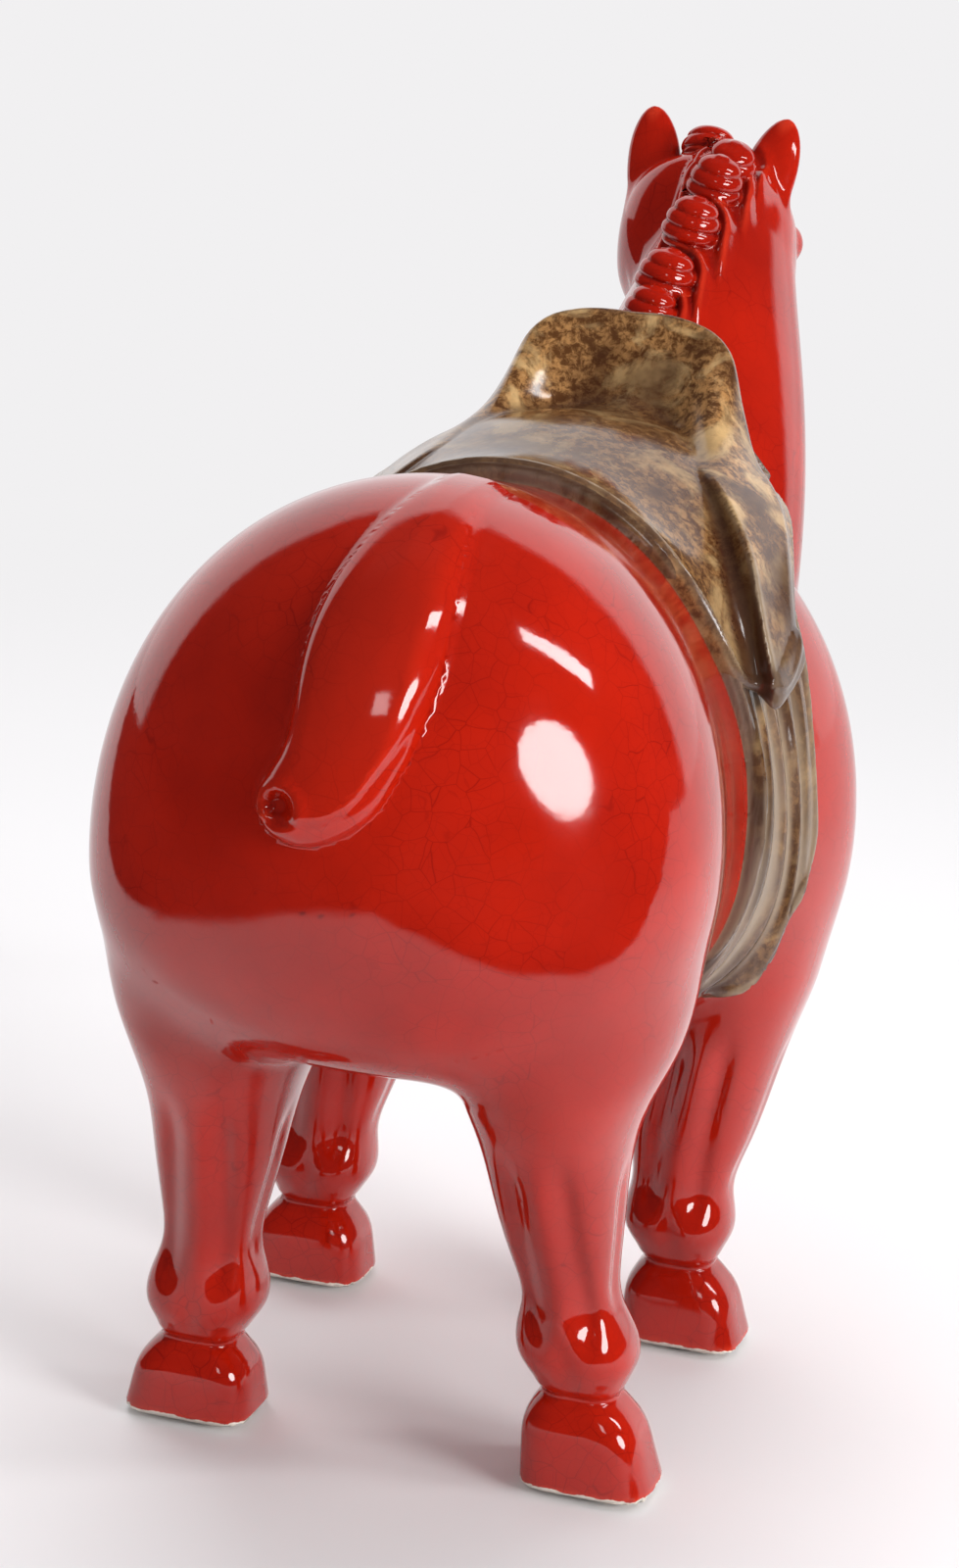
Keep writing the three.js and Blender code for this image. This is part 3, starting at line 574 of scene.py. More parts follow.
# How softly each form runs into the rest
TAIL_FILLET, NECK_BLEND, HEAD_BLEND, EYE_FILLET, EAR_FILLET, KNOT_SEAM = 2.4, 7, 6, 1.6, 3, 0.7
NOSTRIL_FILLET, MOUTH_FILLET = 1.5, 1.4
EYE_RADIUS, NOSTRIL_RADIUS = 7, 3.2


def clay(p):
    """The figurine's red body: trunk, tail, legs, neck, head, ears and mane."""
    out = trunk(p)
    tail = within(p, (-30, 60, 165), (45, 160, 272), lambda q: tail_field(q, trunk(q)))
    out = smooth_min(out, tail, TAIL_FILLET)
    for name, field in leg_fields.items():
        hoof, _, top, _ = STANCES[name]
        low = (min(hoof[0], top[0]) - 45, min(hoof[1], top[1]) - 50, -5)
        high = (max(hoof[0], top[0]) + 45, max(hoof[1], top[1]) + 50, 165)
        out = smooth_min(out, within(p, low, high, field), HAUNCH_BLEND if "hind" in name else SHOULDER_BLEND)
    out = smooth_min(out, within(p, (-75, -260, 150), (65, -20, 350), neck), NECK_BLEND)
    out = smooth_min(out, within(p, (-45, -275, 215), (45, -150, 350), head_field), HEAD_BLEND)
    upper = (-60, -230, 250), (60, -90, 352)
    for eye in EYES:
        out = smooth_min(out, within(p, *upper, lambda q, c=eye: ball(q, c, EYE_RADIUS)), EYE_FILLET)
    for field in ear_fields:
        out = smooth_min(out, within(p, *upper, field), EAR_FILLET)
    near = np.all((p > upper[0]) & (p < upper[1]), axis=1)
    if near.any():
        out[near] -= np.max([rise(p[near]) for rise in lock_rises], axis=0)
    for field in knot_fields:
        out = smooth_min(out, within(p, *upper, field), KNOT_SEAM)
    for nostril in NOSTRILS:
        hole = within(p, nostril - 12, nostril + 12, lambda q, c=nostril: ball(q, c, NOSTRIL_RADIUS))
        out = smooth_max(out, -hole, NOSTRIL_FILLET)

    def mouth(q):
        t, side, face = head_frame(q)
        return np.hypot(np.maximum(97 - t, 0), face + 6) - 0.9

    return smooth_max(out, -within(p, (-30, -275, 215), (30, -215, 262), mouth), MOUTH_FILLET)


# ---- Meshing ----


def gradient(field, p, step=0.05):
    """The field and its slope at each point."""
    value = field(p)
    slope = np.empty_like(p)
    for k in range(3):
        moved = p.copy()
        moved[:, k] += step
        slope[:, k] = (field(moved) - value) / step
    return value, slope


def chunks(count, size=200_000):
    return [slice(i, min(i + size, count)) for i in range(0, count, size)]


def surface_net(field, low, high, step):
    """Quads round the zero of a field, one vertex for each grid cell that the surface crosses."""
    axes = [np.arange(low[k], high[k] + step, step) for k in range(3)]
    shape = tuple(len(axis) for axis in axes)
    grid = np.stack(np.meshgrid(*axes, indexing="ij"), -1).reshape(-1, 3)
    values = np.empty(len(grid))
    for part in chunks(len(grid)):
        values[part] = field(grid[part])
    values = values.reshape(shape)
    inside = values < 0
    total = np.zeros(tuple(n - 1 for n in shape) + (3,))
    crossings = np.zeros(tuple(n - 1 for n in shape))
    edges = []
    for axis in range(3):
        a = [slice(None)] * 3
        b = [slice(None)] * 3
        a[axis], b[axis] = slice(None, -1), slice(1, None)
        va, vb = values[tuple(a)], values[tuple(b)]
        crossed = (va < 0) != (vb < 0)
        edges.append(crossed)
        share = np.where(crossed, va / np.where(crossed, va - vb, 1), 0)
        others = [k for k in range(3) if k != axis]
        for i in (0, 1):
            for j in (0, 1):
                # The edge as seen from the cell where it is the (i, j) one
                pick = [slice(None)] * 3
                pick[others[0]] = slice(i, i + total.shape[others[0]])
                pick[others[1]] = slice(j, j + total.shape[others[1]])
                hit = crossed[tuple(pick)]
                crossings += hit
                total[..., axis] += hit * share[tuple(pick)]
                total[..., others[0]] += hit * i
                total[..., others[1]] += hit * j
    used = crossings > 0
    number = np.full(used.shape, -1)
    number[used] = np.arange(used.sum())
    cell = np.stack(np.nonzero(used), 1)
    points = (cell + total[used] / crossings[used][:, None]) * step + np.asarray(low)
    quads = []
    for axis in range(3):
        others = [k for k in range(3) if k != axis]
        where = np.stack(np.nonzero(edges[axis]), 1)
        for k in others:
            where = where[(where[:, k] > 0) & (where[:, k] < shape[k] - 1)]
        corner = []
        for i, j in ((0, 0), (1, 0), (1, 1), (0, 1)):
            c = where.copy()
            c[:, others[0]] -= i
            c[:, others[1]] -= j
            corner.append(number[tuple(c.T)])
        quad = np.stack(corner, 1)
        outward = inside[tuple(where.T)]
        if axis == 1:
            outward = ~outward
        quad[~outward] = quad[~outward][:, ::-1]
        quads.append(quad)
    return points, np.concatenate(quads)


def settle(field, points, rounds=3, limit=2.0):
    """Moves points along the field's slope until they lie on the surface."""
    for part in chunks(len(points)):
        p = points[part]
        for _ in range(rounds):
            value, slope = gradient(field, p)
            size = np.maximum((slope**2).sum(1), 0.05)
            move = np.clip(value / size, -limit, limit)[:, None] * slope
            p = p - move
        points[part] = p
    return points


def mesh_arrays(mesh):
    points = np.empty(len(mesh.vertices) * 3)
    mesh.vertices.foreach_get("co", points)
    return points.reshape(-1, 3)


MARK_DEPTH = 2.5


def to_row(points):
    return (points - SHIFT) * MM


def split(mesh_object, levels):
    """Splits every face in four, in place, without moving the old vertices."""
    if not levels:
        return
    modifier = mesh_object.modifiers.new("split", "SUBSURF")
    modifier.subdivision_type = "SIMPLE"
    modifier.levels = modifier.render_levels = levels
    graph = bpy.context.evaluated_depsgraph_get()
    made = bpy.data.meshes.new_from_object(mesh_object.evaluated_get(graph))
    old = mesh_object.data
    mesh_object.modifiers.clear()
    mesh_object.data = made
    bpy.data.meshes.remove(old)


def new_object(name, points, faces):
    mesh = bpy.data.meshes.new(name)
    mesh.from_pydata(points, [], faces)
    mesh.update()
    piece = bpy.data.objects.new(name, mesh)
    bpy.context.scene.collection.objects.link(piece)
    return piece


def finish_piece(piece, field, levels, replaces, material, cuts=()):
    """Refines a coarse mesh in millimetres onto its field, gives it exact normals and sets it in the row's frame.

    cuts are (point, normal) planes that close the piece: what lies on one stays on it.
    """
    for level in range(levels + 1):
        if level:
            split(piece, 1)
        points = mesh_arrays(piece.data)
        flat = np.zeros(len(points), bool)
        for point, normal in cuts:
            flat |= np.abs((points - point) @ normal) < 1e-3
        free = ~flat
        points[free] = settle(field, points[free].copy(), 3 if level == 0 else 2)
        piece.data.vertices.foreach_set("co", points.ravel())
    points = mesh_arrays(piece.data)
    normals = np.empty_like(points)
    marks = {"edge": np.zeros(len(points)), "recess_pooling_and_shade": np.zeros(len(points))}
    for part in chunks(len(points)):
        _, slope = gradient(field, points[part], 0.08)
        normals[part] = slope / np.maximum(np.linalg.norm(slope, axis=1), 1e-6)[:, None]
        # The edge mark is where glaze runs thin over convex edges. The recess mark darkens hollows and creases:
        # partly glaze pooled there, partly painted shade.
        for mark, sign in (("edge", -1), ("recess_pooling_and_shade", 1)):
            there = field(points[part] + sign * MARK_DEPTH * normals[part]) * sign
            marks[mark][part] = np.clip(1 - there / MARK_DEPTH, 0, 1)
    for mark, values in marks.items():
        piece.data.attributes.new(mark, "FLOAT", "POINT").data.foreach_set("value", values)
    piece.data.vertices.foreach_set("co", to_row(points).ravel())
    piece.data.update()
    piece.data.polygons.foreach_set("use_smooth", np.ones(len(piece.data.polygons), bool))
    if not cuts:
        piece.data.normals_split_custom_set_from_vertices(normals.tolist())
    else:
        caps = np.zeros(len(piece.data.vertices), bool)
        for point, normal in cuts:
            caps |= np.abs((points - point) @ normal) < 1e-3
        inner = clay(points[caps]) < -0.3
        keep = np.nonzero(caps)[0][inner]
        for point, normal in cuts:
            on = np.abs((points[keep] - point) @ normal) < 1e-3
            normals[keep[on]] = normal
        piece.data.normals_split_custom_set_from_vertices(normals.tolist())
    piece.data.materials.append(material)
    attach(piece, "root")
    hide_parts(*replaces)
    return piece


# ---- Saddle and cloth ----


# y, z round the lower edge, from the back to the front
SEAT_EDGE = [(3, 240), (0, 216), (-7, 204.5), (-17, 203), (-29, 210), (-41, 222), (-60, 234), (-97, 247)]
CLOTH_EDGE = [(4, 240), (-1, 216), (-9, 190), (-10, 130), (-14, 117), (-24, 112), (-33, 115), (-39, 132), (-46, 149),
              (-47, 172), (-49, 193), (-56, 214), (-88, 240)]
SIDE_LOW, SIDE_HIGH = (-130, 90), (40, 330)
seat_outline = Outline(SEAT_EDGE, [(-101, 325), (3, 325)], SIDE_LOW, SIDE_HIGH)
cloth_outline = Outline(CLOTH_EDGE, [(-92, 325), (4, 325)], SIDE_LOW, SIDE_HIGH)
SEAT_REAR, SEAT_FRONT = 4.2, 11.0
CLOTH_THICKNESS = 3.2
# A raised rim runs round the seat and the cloth.
RIM_HEIGHT = 0.7
# How deep the saddle's and cloth's undersides reach into the clay
SEATING = 1.0
PLEAT_DEPTH = 1.7
PLEAT_COUNT = 6
# The board that rises across the seat's front and sweeps back down both sides to the tips of the lobes:
# distance from its middle line, y and z of its foot, y and z of its rim
BOARD_X = -2.6
BOARD_THICKNESS = 6.0
BOARD_ROOT = 5.0
# The left side is drawn in by this share, and at the lobes the board stands off the clay by no more than this.
LEFT_NARROWER = 0.10
LOBE_STAND = 11.0
BOARD = np.array([
    (0, -89, 257.5, -101, 288.8),
    (8, -87.5, 257.3, -101, 288.8),
    (16, -82, 256, -100, 287.3),
    (22, -73, 254.8, -98.5, 284.6),
    (26, -66, 253.6, -97, 281),
    (28.5, -62, 252.8, -95.5, 277),
    (31.5, -57, 251.3, -92.5, 269),
    (35.5, -51, 249, -87, 259.5),
    (40.5, -45, 244.6, -78, 248.5),
    (47, -37, 237.8, -66.5, 240.5),
    (54, -28, 228, -53, 231.5),
    (60, -21, 214.5, -39, 221.5),
    (64, -17, 206, -30, 211),
])
board_curves = [Spline(BOARD[:, 0], BOARD[:, k]) for k in range(1, 5)]


def dressed(p):
    """The clay under the cloth: trunk, shoulders and the neck's root."""
    out = trunk(p)
    for name in ("leg_front_left", "leg_front_right"):
        out = smooth_min(out, leg_fields[name](p), SHOULDER_BLEND)
    return smooth_min(out, neck(p), NECK_BLEND)


def board_field(p, base):
    """A slab that follows the ruled surface between the board's foot and its rim."""
    side = np.hypot(p[:, 0] - BOARD_X, 3) - 3
    side = side * np.where(p[:, 0] > BOARD_X, 1 + LEFT_NARROWER * smoothstep(side, 15, 45), 1)
    foot_y, foot_z, rim_y, rim_z = (curve(np.clip(side, 0, BOARD[-1, 0])) for curve in board_curves)
    run = np.hypot(rim_y - foot_y, rim_z - foot_z)
    way_y, way_z = (rim_y - foot_y) / run, (rim_z - foot_z) / run
    y, z = p[:, 1] - foot_y, p[:, 2] - foot_z
    along = np.abs(y * way_y + z * way_z - (run - BOARD_ROOT) / 2) - (run + BOARD_ROOT) / 2
    out = np.abs(y * way_z - z * way_y) - BOARD_THICKNESS / 2
    slab = smooth_max(smooth_max(along, out, 3.0), side - BOARD[-1, 0], 6.0)
    standing = LOBE_STAND + 34 * (1 - smoothstep(side, 38, 56))
    return smooth_max(slab, base - standing, 5.0)


def seat_height(y):
    """How far the seat's surface stands off the clay: it thickens towards the front."""
    return SEAT_REAR + (SEAT_FRONT - SEAT_REAR) * smoothstep(-y, -5, 85)


def seat_field(p):
    base = dressed(p)
    y, z = p[:, 1], p[:, 2]
    edge = seat_outline(y, z)
    height = seat_height(y) + RIM_HEIGHT * bump(edge + 1.7, 1.2)
    seat = smooth_max(base - height, edge, 2.4)
    # The valley between seat and board is wider towards the lobes.
    valley = 4.0 + 13.0 * smoothstep(np.abs(p[:, 0] - BOARD_X), 28, 56)
    return smooth_max(smooth_min(seat, board_field(p, base), valley), -SEATING - base, 0.5)


def pleats(y, z):
    """Height of the folds, from 0 in the furrows to 1 on the ridges."""
    share = (y + 10) / -47
    share = share + 0.035 * np.sin(z / 17 + 6 * share) - 0.0011 * (z - 160)
    wave = 0.5 + 0.5 * np.cos(2 * np.pi * PLEAT_COUNT * share + 0.9 * np.sin(z / 31))
    return wave**1.4 * (0.65 + 0.35 * np.sin(2.3 * PLEAT_COUNT * share + 1))


def cloth_field(p):
    base = dressed(p)
    y, z = p[:, 1], p[:, 2]
    edge = cloth_outline(y, z)
    hang = smoothstep(-z, -214, -182)
    fold = pleats(y, z) * hang
    edge = edge - 1.4 * fold * smoothstep(-z, -150, -122)
    height = CLOTH_THICKNESS - 1.0 * hang + PLEAT_DEPTH * fold + RIM_HEIGHT * bump(edge + 2.0, 1.3)
    out = smooth_max(base - height, edge, 1.8)
    return smooth_max(out, -SEATING - base, 0.5)


# ---- Materials ----


class Nodes:
    """The node tree of a material or the world, written as nested calls."""

    def __init__(self, owner):
        owner.use_nodes = True
        self.owner, self.tree = owner, owner.node_tree
        self.shader = self.tree.nodes.get("Principled BSDF")
        self.place = self.tree.nodes.new("ShaderNodeTexCoord").outputs["Object"]

    def node(self, kind, settings=None, **inputs):
        made = self.tree.nodes.new("ShaderNode" + kind)
        for key, value in (settings or {}).items():
            setattr(made, key, value)
        for key, value in inputs.items():
            self.feed(made.inputs[key.replace("_", " ")], value)
        return made

    def feed(self, socket, value):
        if isinstance(value, bpy.types.NodeSocket):
            self.tree.links.new(value, socket)
        else:
            socket.default_value = value

    def math(self, operation, a, b=0.0, clamp=False):
        made = self.tree.nodes.new("ShaderNodeMath")
        made.operation, made.use_clamp = operation, clamp
        self.feed(made.inputs[0], a)
        self.feed(made.inputs[1], b)
        return made.outputs[0]

    def noise(self, scale, detail=3.0, rough=0.5, vector=None, distortion=0.0):
        made = self.node("TexNoise", Vector=vector or self.place, Scale=scale, Detail=detail, Roughness=rough,
                         Distortion=distortion)
        return made.outputs["Fac"]

    def remap(self, value, low, high, to_low=0.0, to_high=1.0):
        made = self.node("MapRange", {"interpolation_type": "SMOOTHSTEP"}, Value=value)
        for key, number in (("From Min", low), ("From Max", high), ("To Min", to_low), ("To Max", to_high)):
            made.inputs[key].default_value = number
        return made.outputs["Result"]

    def mix(self, factor, a, b, mode="MIX"):
        made = self.tree.nodes.new("ShaderNodeMix")
        made.data_type, made.blend_type = "RGBA", mode
        self.feed(made.inputs["Factor"], factor)
        self.feed(made.inputs["A"], a if isinstance(a, bpy.types.NodeSocket) else (*a, 1.0))
        self.feed(made.inputs["B"], b if isinstance(b, bpy.types.NodeSocket) else (*b, 1.0))
        return made.outputs["Result"]

    def attribute(self, name):
        return self.node("Attribute", {"attribute_name": name}).outputs["Fac"]

    def stretched(self, x, y, z):
        return self.node("Mapping", Vector=self.place, Scale=(x, y, z)).outputs["Vector"]

    def wobbled(self, scale, amount):
        """The place, pushed about a little, so that lines drawn from it aren't straight."""
        noise = self.node("TexNoise", Vector=self.place, Scale=scale, Detail=2.0).outputs["Color"]
        centred = self.node("VectorMath", {"operation": "SUBTRACT"})
        self.feed(centred.inputs[0], noise)
        centred.inputs[1].default_value = (0.5, 0.5, 0.5)
        scaled = self.node("VectorMath", {"operation": "SCALE"})
        self.feed(scaled.inputs[0], centred.outputs[0])
        scaled.inputs["Scale"].default_value = amount
        total = self.node("VectorMath", {"operation": "ADD"})
        self.feed(total.inputs[0], self.place)
        self.feed(total.inputs[1], scaled.outputs[0])
        return total.outputs[0]

    def bump(self, height, distance, strength=1.0, under=None):
        made = self.node("Bump", Height=height, Distance=distance, Strength=strength)
        if under is not None:
            self.feed(made.inputs["Normal"], under)
        return made.outputs["Normal"]

    def set(self, **inputs):
        for key, value in inputs.items():
            key = key.replace("_", " ")
            self.feed(self.shader.inputs[key], value)
        return self.owner


def new_material(name):
    return Nodes(bpy.data.materials.new(name))


def crackle(n, scale, width, seed_shift=0.0):
    """Fine dark lines round the cells of a crazed glaze: 1 on a line."""
    place = n.wobbled(60.0, 0.006)
    if seed_shift:
        place = n.node("Mapping", Vector=place, Location=(seed_shift, seed_shift, seed_shift)).outputs["Vector"]
    cells = n.node("TexVoronoi", {"feature": "DISTANCE_TO_EDGE"}, Vector=place, Scale=scale)
    return n.remap(cells.outputs["Distance"], 0.0, width, 1.0, 0.0)


def red_glaze():
    n = new_material("red_glaze")
    deep, full, thin = (0.300, 0.007, 0.002), (0.41, 0.010, 0.002), (0.56, 0.034, 0.012)
    cloud = n.remap(n.noise(22.0, 4.0), 0.3, 0.7)
    colour = n.mix(cloud, deep, full)
    colour = n.mix(n.remap(n.attribute("edge"), 0.12, 0.7, 0.0, 0.65), colour, thin)
    # Darker red in hollows and creases: partly glaze pooled thick there, partly painted shade.
    colour = n.mix(n.remap(n.attribute("recess_pooling_and_shade"), 0.08, 0.7, 0.0, 0.75), colour, (0.13, 0.002, 0.002))
    # Crazing shows in patches
    lines = n.math("MAXIMUM", crackle(n, 150.0, 0.026), n.math("MULTIPLY", crackle(n, 250.0, 0.035, 3.1), 0.5))
    patches = n.remap(n.noise(30.0, 2.0), 0.38, 0.62, 0.25, 1.0)
    lines = n.math("MULTIPLY", lines, patches)
    colour = n.mix(n.math("MULTIPLY", lines, 0.46), colour, (0.12, 0.001, 0.001))
    # The foot is wiped clean of glaze
    height = n.node("SeparateXYZ", Vector=n.place).outputs["Z"]
    rim = n.math("ADD", height, n.math("MULTIPLY", n.noise(260.0, 3.0), 0.0022))
    bare = n.remap(rim, 0.0041, 0.0044, 1.0, 0.0)
    clay_colour = n.mix(n.noise(900.0, 4.0), (0.62, 0.55, 0.47), (0.86, 0.80, 0.72))
    colour = n.mix(bare, colour, clay_colour)
    peel = n.bump(n.noise(240.0, 2.0), 0.0001, 0.35)
    grit = n.math("MULTIPLY", n.noise(2200.0, 2.0), bare)
    peel = n.bump(grit, 0.0002, 0.9, peel)
    rough = n.math("ADD", n.math("MULTIPLY", bare, 0.75), n.remap(n.noise(45.0, 3.0), 0.3, 0.7, 0.05, 0.10))
    return n.set(Base_Color=colour, Roughness=rough, Normal=peel, IOR=1.55)


def brown_glaze(name, worn):
    n = new_material(name)
    fleck = n.noise(340.0, 8.0, 0.74, distortion=0.4)
    blotch = n.noise(58.0, 5.0, 0.62, distortion=0.8)
    colour = n.mix(n.remap(fleck, 0.42, 0.62), (0.095, 0.036, 0.011), (0.400, 0.200, 0.070))
    colour = n.mix(n.remap(blotch, 0.48, 0.66, 0.0, 0.75), colour, (0.640, 0.420, 0.190))
    colour = n.mix(n.remap(n.noise(38.0, 4.0), 0.46, 0.68, 0.0, 0.85), colour, (0.050, 0.015, 0.005))
    # Paler and greyer in streaks where the glaze ran thin. On the saddle this grey is instead a painted reflection of
    # the pale backdrop, laid on its lower part only.
    strokes = n.noise(75.0, 6.0, 0.62, n.stretched(1.0, 1.0, 0.18))
    if worn:
        grey_streaks_and_sheen = n.mix(n.remap(strokes, 0.38, 0.62), (0.045, 0.020, 0.010), (0.150, 0.098, 0.075))
        amount = n.remap(n.noise(28.0, 3.0), 0.30, 0.62, 0.55, 1.0)
    else:
        grey_streaks_and_sheen = n.mix(n.remap(strokes, 0.35, 0.65), (0.055, 0.026, 0.013), (0.115, 0.068, 0.045))
        # Painted reflection: the lower down the saddle, the more of the backdrop's pale grey is laid on it.
        height = n.node("SeparateXYZ", Vector=n.place).outputs["Z"]
        low = n.remap(height, 0.205, 0.250, 1.0, 0.0)
        amount = n.math("MULTIPLY", low, n.remap(n.noise(33.0, 3.0), 0.25, 0.6, 0.45, 1.0))
    colour = n.mix(amount, colour, grey_streaks_and_sheen)
    colour = n.mix(n.remap(n.attribute("edge"), 0.22, 0.75, 0.0, 0.75), colour, (0.27, 0.20, 0.135))
    # Darker brown in hollows and creases, such as the crease under the board: partly glaze pooled there, partly
    # painted shade.
    colour = n.mix(n.remap(n.attribute("recess_pooling_and_shade"), 0.05, 0.45, 0.0, 0.85), colour, (0.042, 0.012, 0.005))
    fine = n.bump(n.noise(420.0, 3.0), 0.0001, 0.3)
    rough = n.remap(n.noise(50.0, 4.0), 0.3, 0.7, 0.10, 0.22)
    return n.set(Base_Color=colour, Roughness=rough, Normal=fine, IOR=1.5)


def pad_foam():
    n = new_material("pad_foam")
    cells = n.noise(3000.0, 3.0)
    colour = n.mix(cells, (0.006, 0.006, 0.007), (0.022, 0.021, 0.021))
    return n.set(Base_Color=colour, Roughness=n.remap(cells, 0.3, 0.7, 0.75, 0.95), Normal=n.bump(cells, 0.0002, 0.7))


RED = red_glaze()
SADDLE_BROWN = brown_glaze("saddle_glaze", False)
CLOTH_BROWN = brown_glaze("cloth_glaze", True)
FOAM = pad_foam()

# ---- Pieces ----


def cut_piece(name, points, faces, planes, chosen=None):
    """A closed copy of a surface, cut off outside each (point, normal) plane."""
    bm = bmesh.new()
    verts = [bm.verts.new(point) for point in points]
    for face in faces:
        bm.faces.new([verts[i] for i in face])
    for point, normal in planes:
        everything = list(bm.verts) + list(bm.edges) + list(bm.faces)
        cut = bmesh.ops.bisect_plane(bm, geom=everything, dist=1e-6, plane_co=point, plane_no=normal,
                                     clear_outer=True)
        edges = [e for e in cut["geom_cut"] if isinstance(e, bmesh.types.BMEdge)]
        bmesh.ops.edgeloop_fill(bm, edges=edges)
    if chosen:
        away = [v for v in bm.verts if not chosen(v.co)]
        bmesh.ops.delete(bm, geom=away, context="VERTS")
    bmesh.ops.recalc_face_normals(bm, faces=list(bm.faces))
    mesh = bpy.data.meshes.new(name)
    bm.to_mesh(mesh)
    bm.free()
    piece = bpy.data.objects.new(name, mesh)
    bpy.context.scene.collection.objects.link(piece)
    return piece


LEG_CUT = 92.0
NECK_POINT, NECK_NORMAL = np.array([0, -105, 246.0]), np.array([0, -0.68, 0.73])
NECK_NORMAL = NECK_NORMAL / np.linalg.norm(NECK_NORMAL)
UP = np.array([0, 0, 1.0])

body_points, body_faces = surface_net(clay, (-100, -175, -2), (100, 150, 272), 3.0)
body_points = settle(clay, body_points)
levels = 1

piece = cut_piece("glazed_body", body_points, body_faces,
                  [(NECK_POINT, NECK_NORMAL), ((0, 0, LEG_CUT), -UP)])
finish_piece(piece, clay, levels, ("trunk", "tail"), RED,
             [(NECK_POINT, NECK_NORMAL), (UP * LEG_CUT, -UP)])
for name, (hoof, _, _, _) in STANCES.items():
    piece = cut_piece("glazed_" + name, body_points, body_faces, [((0, 0, LEG_CUT), UP)],
                      lambda co: co[0] * hoof[0] > 0 and (co[1] + 8) * (hoof[1] + 8) > 0)
    finish_piece(piece, clay, levels, (name,), RED, [(UP * LEG_CUT, UP)])

neck_points, neck_faces = surface_net(clay, (-75, -275, 180), (75, -75, 350), 1.5)
neck_points = settle(clay, neck_points)
piece = cut_piece("glazed_neck_and_head", neck_points, neck_faces, [(NECK_POINT, -NECK_NORMAL)])
finish_piece(piece, clay, levels, ("neck_and_head", "ear_left", "ear_right"), RED,
             [(NECK_POINT, -NECK_NORMAL)])

KNOT_FILLET = 1.5
names = ["mane_knot_%d" % (i + 1) for i in range(len(MANE))] + ["forelock_knot"]
for name, (middle, _, _, radius, height), own in zip(names, KNOTS, knot_fields):
    def field(p, own=own):
        joined = smooth_min(own(p), clay(p), KNOT_FILLET)
        return smooth_max(joined - 0.03, own(p) - 0.9 * KNOT_FILLET, 0.1)

    reach = max(height / 2, radius) + 5
    points, faces = surface_net(field, middle - reach, middle + reach, 0.8)
    piece = new_object("glazed_" + name, settle(field, points), faces.tolist())
    finish_piece(piece, field, levels, (name,), RED)

points, faces = surface_net(seat_field, (-80, -112, 190), (80, 12, 296), 2.0)
piece = new_object("glazed_saddle", settle(seat_field, points), faces.tolist())
finish_piece(piece, seat_field, levels, ("saddle",), SADDLE_BROWN)
points, faces = surface_net(cloth_field, (-95, -98, 104), (95, 12, 262), 2.0)
piece = new_object("glazed_cloth", settle(cloth_field, points), faces.tolist())
finish_piece(piece, cloth_field, levels, ("saddle_cloth",), CLOTH_BROWN)

for name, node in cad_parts.items():
    if name.startswith("pad_"):
        for slot_number in range(len(node.data.materials)):
            node.data.materials[slot_number] = FOAM

# ---- Floor, lamps and camera ----

floor_mesh = bpy.data.meshes.new("floor")
floor_mesh.from_pydata([(-30, -40, 0), (30, -40, 0), (30, 12, 0), (-30, 12, 0)], [], [(0, 1, 2, 3)])
floor = bpy.data.objects.new("floor", floor_mesh)
bpy.context.scene.collection.objects.link(floor)
PAPER_LEVEL = 0.88
# Gloss sees the paper up to this far behind the horse, and less far off to the sides.
PAPER_EDGE = 0.40
PAPER_EDGE_SLOPE = 0.7


def paper():
    """White paper that is an even white far off. Gloss shows it only up to its front edge."""
    n = new_material("paper")
    n.set(Base_Color=n.mix(n.noise(3.0), (0.80, 0.79, 0.80), (0.83, 0.82, 0.83)), Roughness=0.85)
    n.shader.inputs["Specular IOR Level"].default_value = 0.2
    tree = n.tree
    split_place = n.node("SeparateXYZ", Vector=n.place)
    far_off = n.remap(n.node("VectorMath", {"operation": "LENGTH"}, Vector=n.place).outputs["Value"], 0.3, 1.4)
    rays = n.node("LightPath")
    even = n.node("Emission", Color=(1.0, 0.99, 1.0, 1.0), Strength=PAPER_LEVEL)
    dark = n.node("Emission", Color=(1.0, 0.8, 0.8, 1.0), Strength=0.05)
    shown = n.math("MAXIMUM", rays.outputs["Is Camera Ray"], rays.outputs["Is Glossy Ray"])
    seen = n.node("MixShader", Fac=n.math("MULTIPLY", far_off, shown))
    tree.links.new(n.shader.outputs[0], seen.inputs[1])
    tree.links.new(even.outputs[0], seen.inputs[2])
    wave = n.math("MULTIPLY", n.math("SUBTRACT", n.noise(9.0, 2.0), 0.5), 0.06)
    aside = n.math("MULTIPLY", n.math("ABSOLUTE", split_place.outputs["X"]), PAPER_EDGE_SLOPE)
    forward = n.math("ADD", n.math("ADD", split_place.outputs["Y"], aside), wave)
    ahead = n.remap(forward, PAPER_EDGE - 0.02, PAPER_EDGE + 0.02)
    whole = n.node("MixShader", Fac=n.math("MULTIPLY", ahead, rays.outputs["Is Glossy Ray"]))
    tree.links.new(seen.outputs[0], whole.inputs[1])
    tree.links.new(dark.outputs[0], whole.inputs[2])
    tree.links.new(whole.outputs[0], tree.nodes["Material Output"].inputs["Surface"])
    return n.owner


floor_mesh.materials.append(paper())

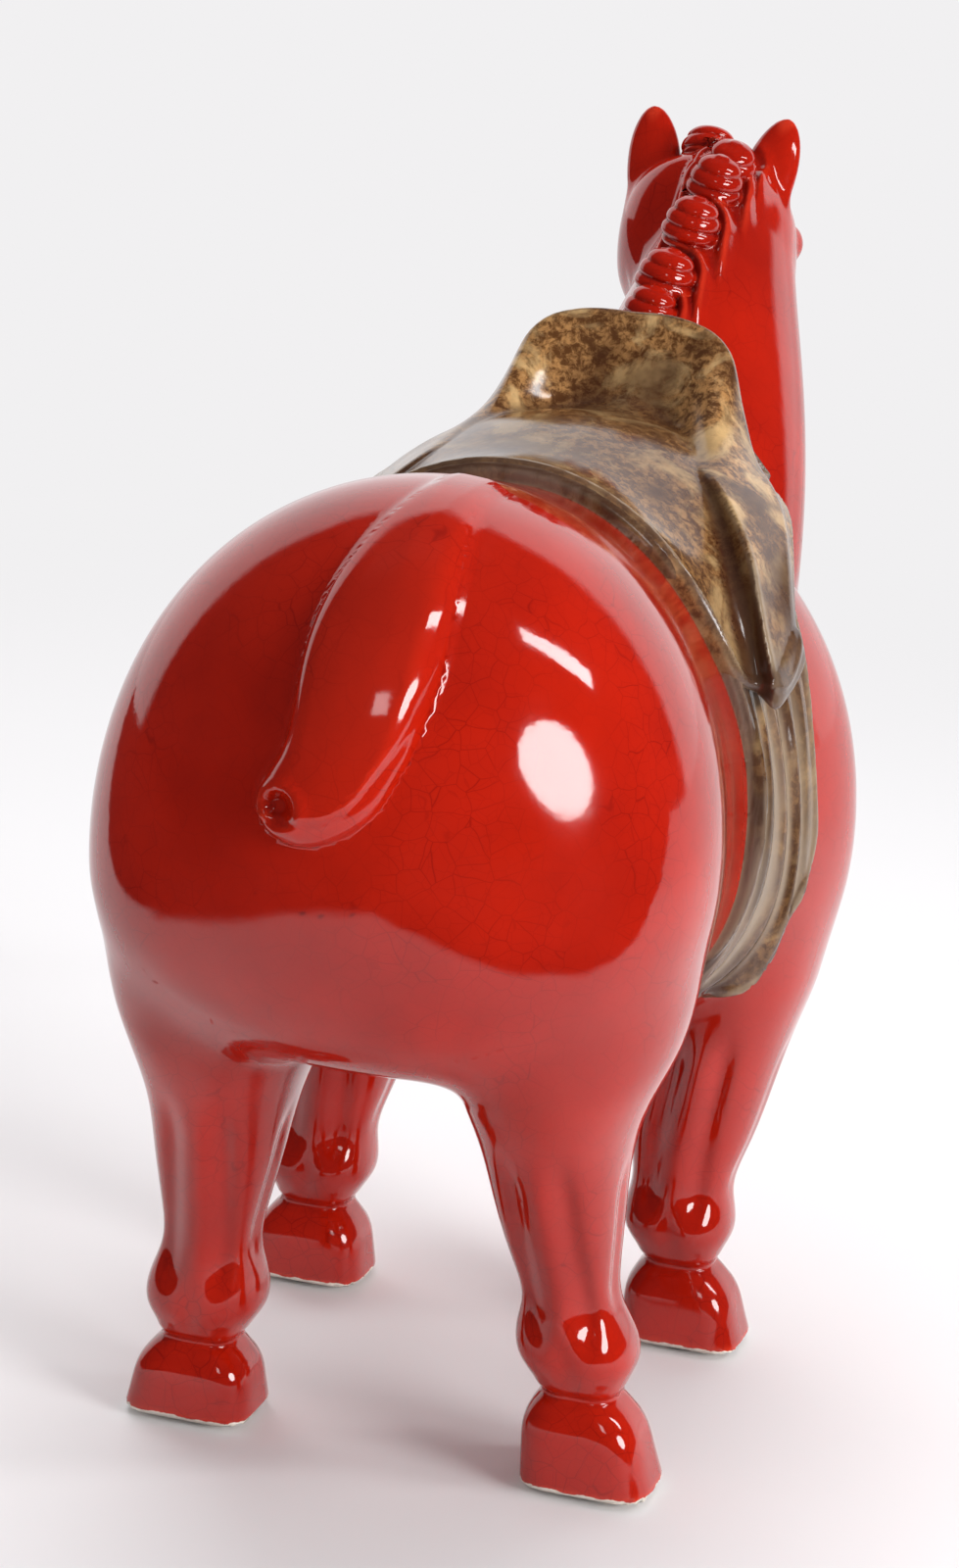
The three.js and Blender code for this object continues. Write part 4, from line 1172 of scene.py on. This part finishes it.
CAMERA = np.array([-241.7, 962.1, 399.0])
LOOK = np.array([0.2423, -0.9438, -0.2250])
LOOK /= np.linalg.norm(LOOK)
ROLL = math.radians(5.0)
FOCAL_PIXELS, FRAME_HEIGHT = 3891.0, 1600.0
right = np.cross(LOOK, UP)
right /= np.linalg.norm(right)
upward = np.cross(right, LOOK)
across = math.cos(ROLL) * right + math.sin(ROLL) * upward
above = math.cos(ROLL) * upward - math.sin(ROLL) * right
camera_data = bpy.data.cameras.new("camera")
camera_data.sensor_width = 36.0
camera_data.lens = FOCAL_PIXELS * camera_data.sensor_width / FRAME_HEIGHT
camera_data.clip_end = 100.0
camera = bpy.data.objects.new("camera", camera_data)
turn = Matrix((across, above, -LOOK)).transposed()
camera.matrix_world = Matrix.Translation(Vector(to_row(CAMERA))) @ turn.to_4x4()
bpy.context.scene.collection.objects.link(camera)
bpy.context.scene.camera = camera


def lamp(name, place, aim, size, power, shape="DISK", size_y=None, roll=0.0):
    data = bpy.data.lights.new(name, "AREA")
    data.shape, data.size, data.energy = shape, size, power
    if size_y:
        data.size_y = size_y
    thing = bpy.data.objects.new(name, data)
    thing.location = place
    facing = (Vector(aim) - Vector(place)).to_track_quat("-Z", "Y")
    thing.rotation_euler = (facing @ Quaternion((0, 0, 1), math.radians(roll))).to_euler()
    bpy.context.scene.collection.objects.link(thing)
    return thing


AIM = (-0.03, 0.05, 0.19)


def from_aim(azimuth, elevation, distance):
    """A place seen from AIM, by its direction from +Y towards +X and its height in degrees."""
    a, e = math.radians(azimuth), math.radians(elevation)
    return (AIM[0] + distance * math.sin(a) * math.cos(e), AIM[1] + distance * math.cos(a) * math.cos(e),
            AIM[2] + distance * math.sin(e))


lamp("softbox", from_aim(-64, 13, 1.6), AIM, 0.84, 20.0, "ELLIPSE", 0.62)
lamp("strip", from_aim(-90, 41, 1.6), AIM, 0.74, 6.0, "RECTANGLE", 0.17, -46.0)
lamp("window", from_aim(-13, 24, 2.2), AIM, 0.30, 2.2, "RECTANGLE", 0.46)
overhead = lamp("overhead", (0.3, -0.7, 2.0), (0, 0, 0.1), 1.5, 24.0, "SQUARE")
overhead.visible_glossy = False

# Towards the middle of the backdrop; the cosines between which its rim fades, and the sines for the ceiling's
BACKDROP_WAY = (0.308, -0.947, -0.087)
BACKDROP_RIM = (0.47, 0.55)
CEILING_RIM = (0.69, 0.78)
BACKDROP_LEVEL, ROOM_LEVEL, FILL_LEVEL = 1.05, 0.05, 0.36
world = bpy.data.worlds.new("studio")
bpy.context.scene.world = world
n = Nodes(world)
direction = n.node("TexCoord").outputs["Generated"]
# The white backdrop stands behind the horse; the ceiling and the rest of the room are dark.
toward = n.node("VectorMath", {"operation": "DOT_PRODUCT"})
n.feed(toward.inputs[0], direction)
toward.inputs[1].default_value = BACKDROP_WAY
backdrop = n.remap(toward.outputs["Value"], *BACKDROP_RIM)
ceiling = n.remap(n.node("SeparateXYZ", Vector=direction).outputs["Z"], *CEILING_RIM)
backdrop = n.math("MULTIPLY", backdrop, n.math("SUBTRACT", 1.0, ceiling))
rays = n.node("LightPath")
level = n.math("ADD", n.math("MULTIPLY", backdrop, BACKDROP_LEVEL), ROOM_LEVEL)
level = n.math("ADD", level, n.math("MULTIPLY", rays.outputs["Is Diffuse Ray"], FILL_LEVEL))
seen = n.node("Mix", Factor=rays.outputs["Is Camera Ray"], A=level, B=PAPER_LEVEL).outputs["Result"]
background = n.tree.nodes["Background"]
n.feed(background.inputs["Strength"], seen)
background.inputs["Color"].default_value = (1.0, 0.99, 1.0, 1.0)

bpy.context.scene.view_settings.view_transform = "Standard"
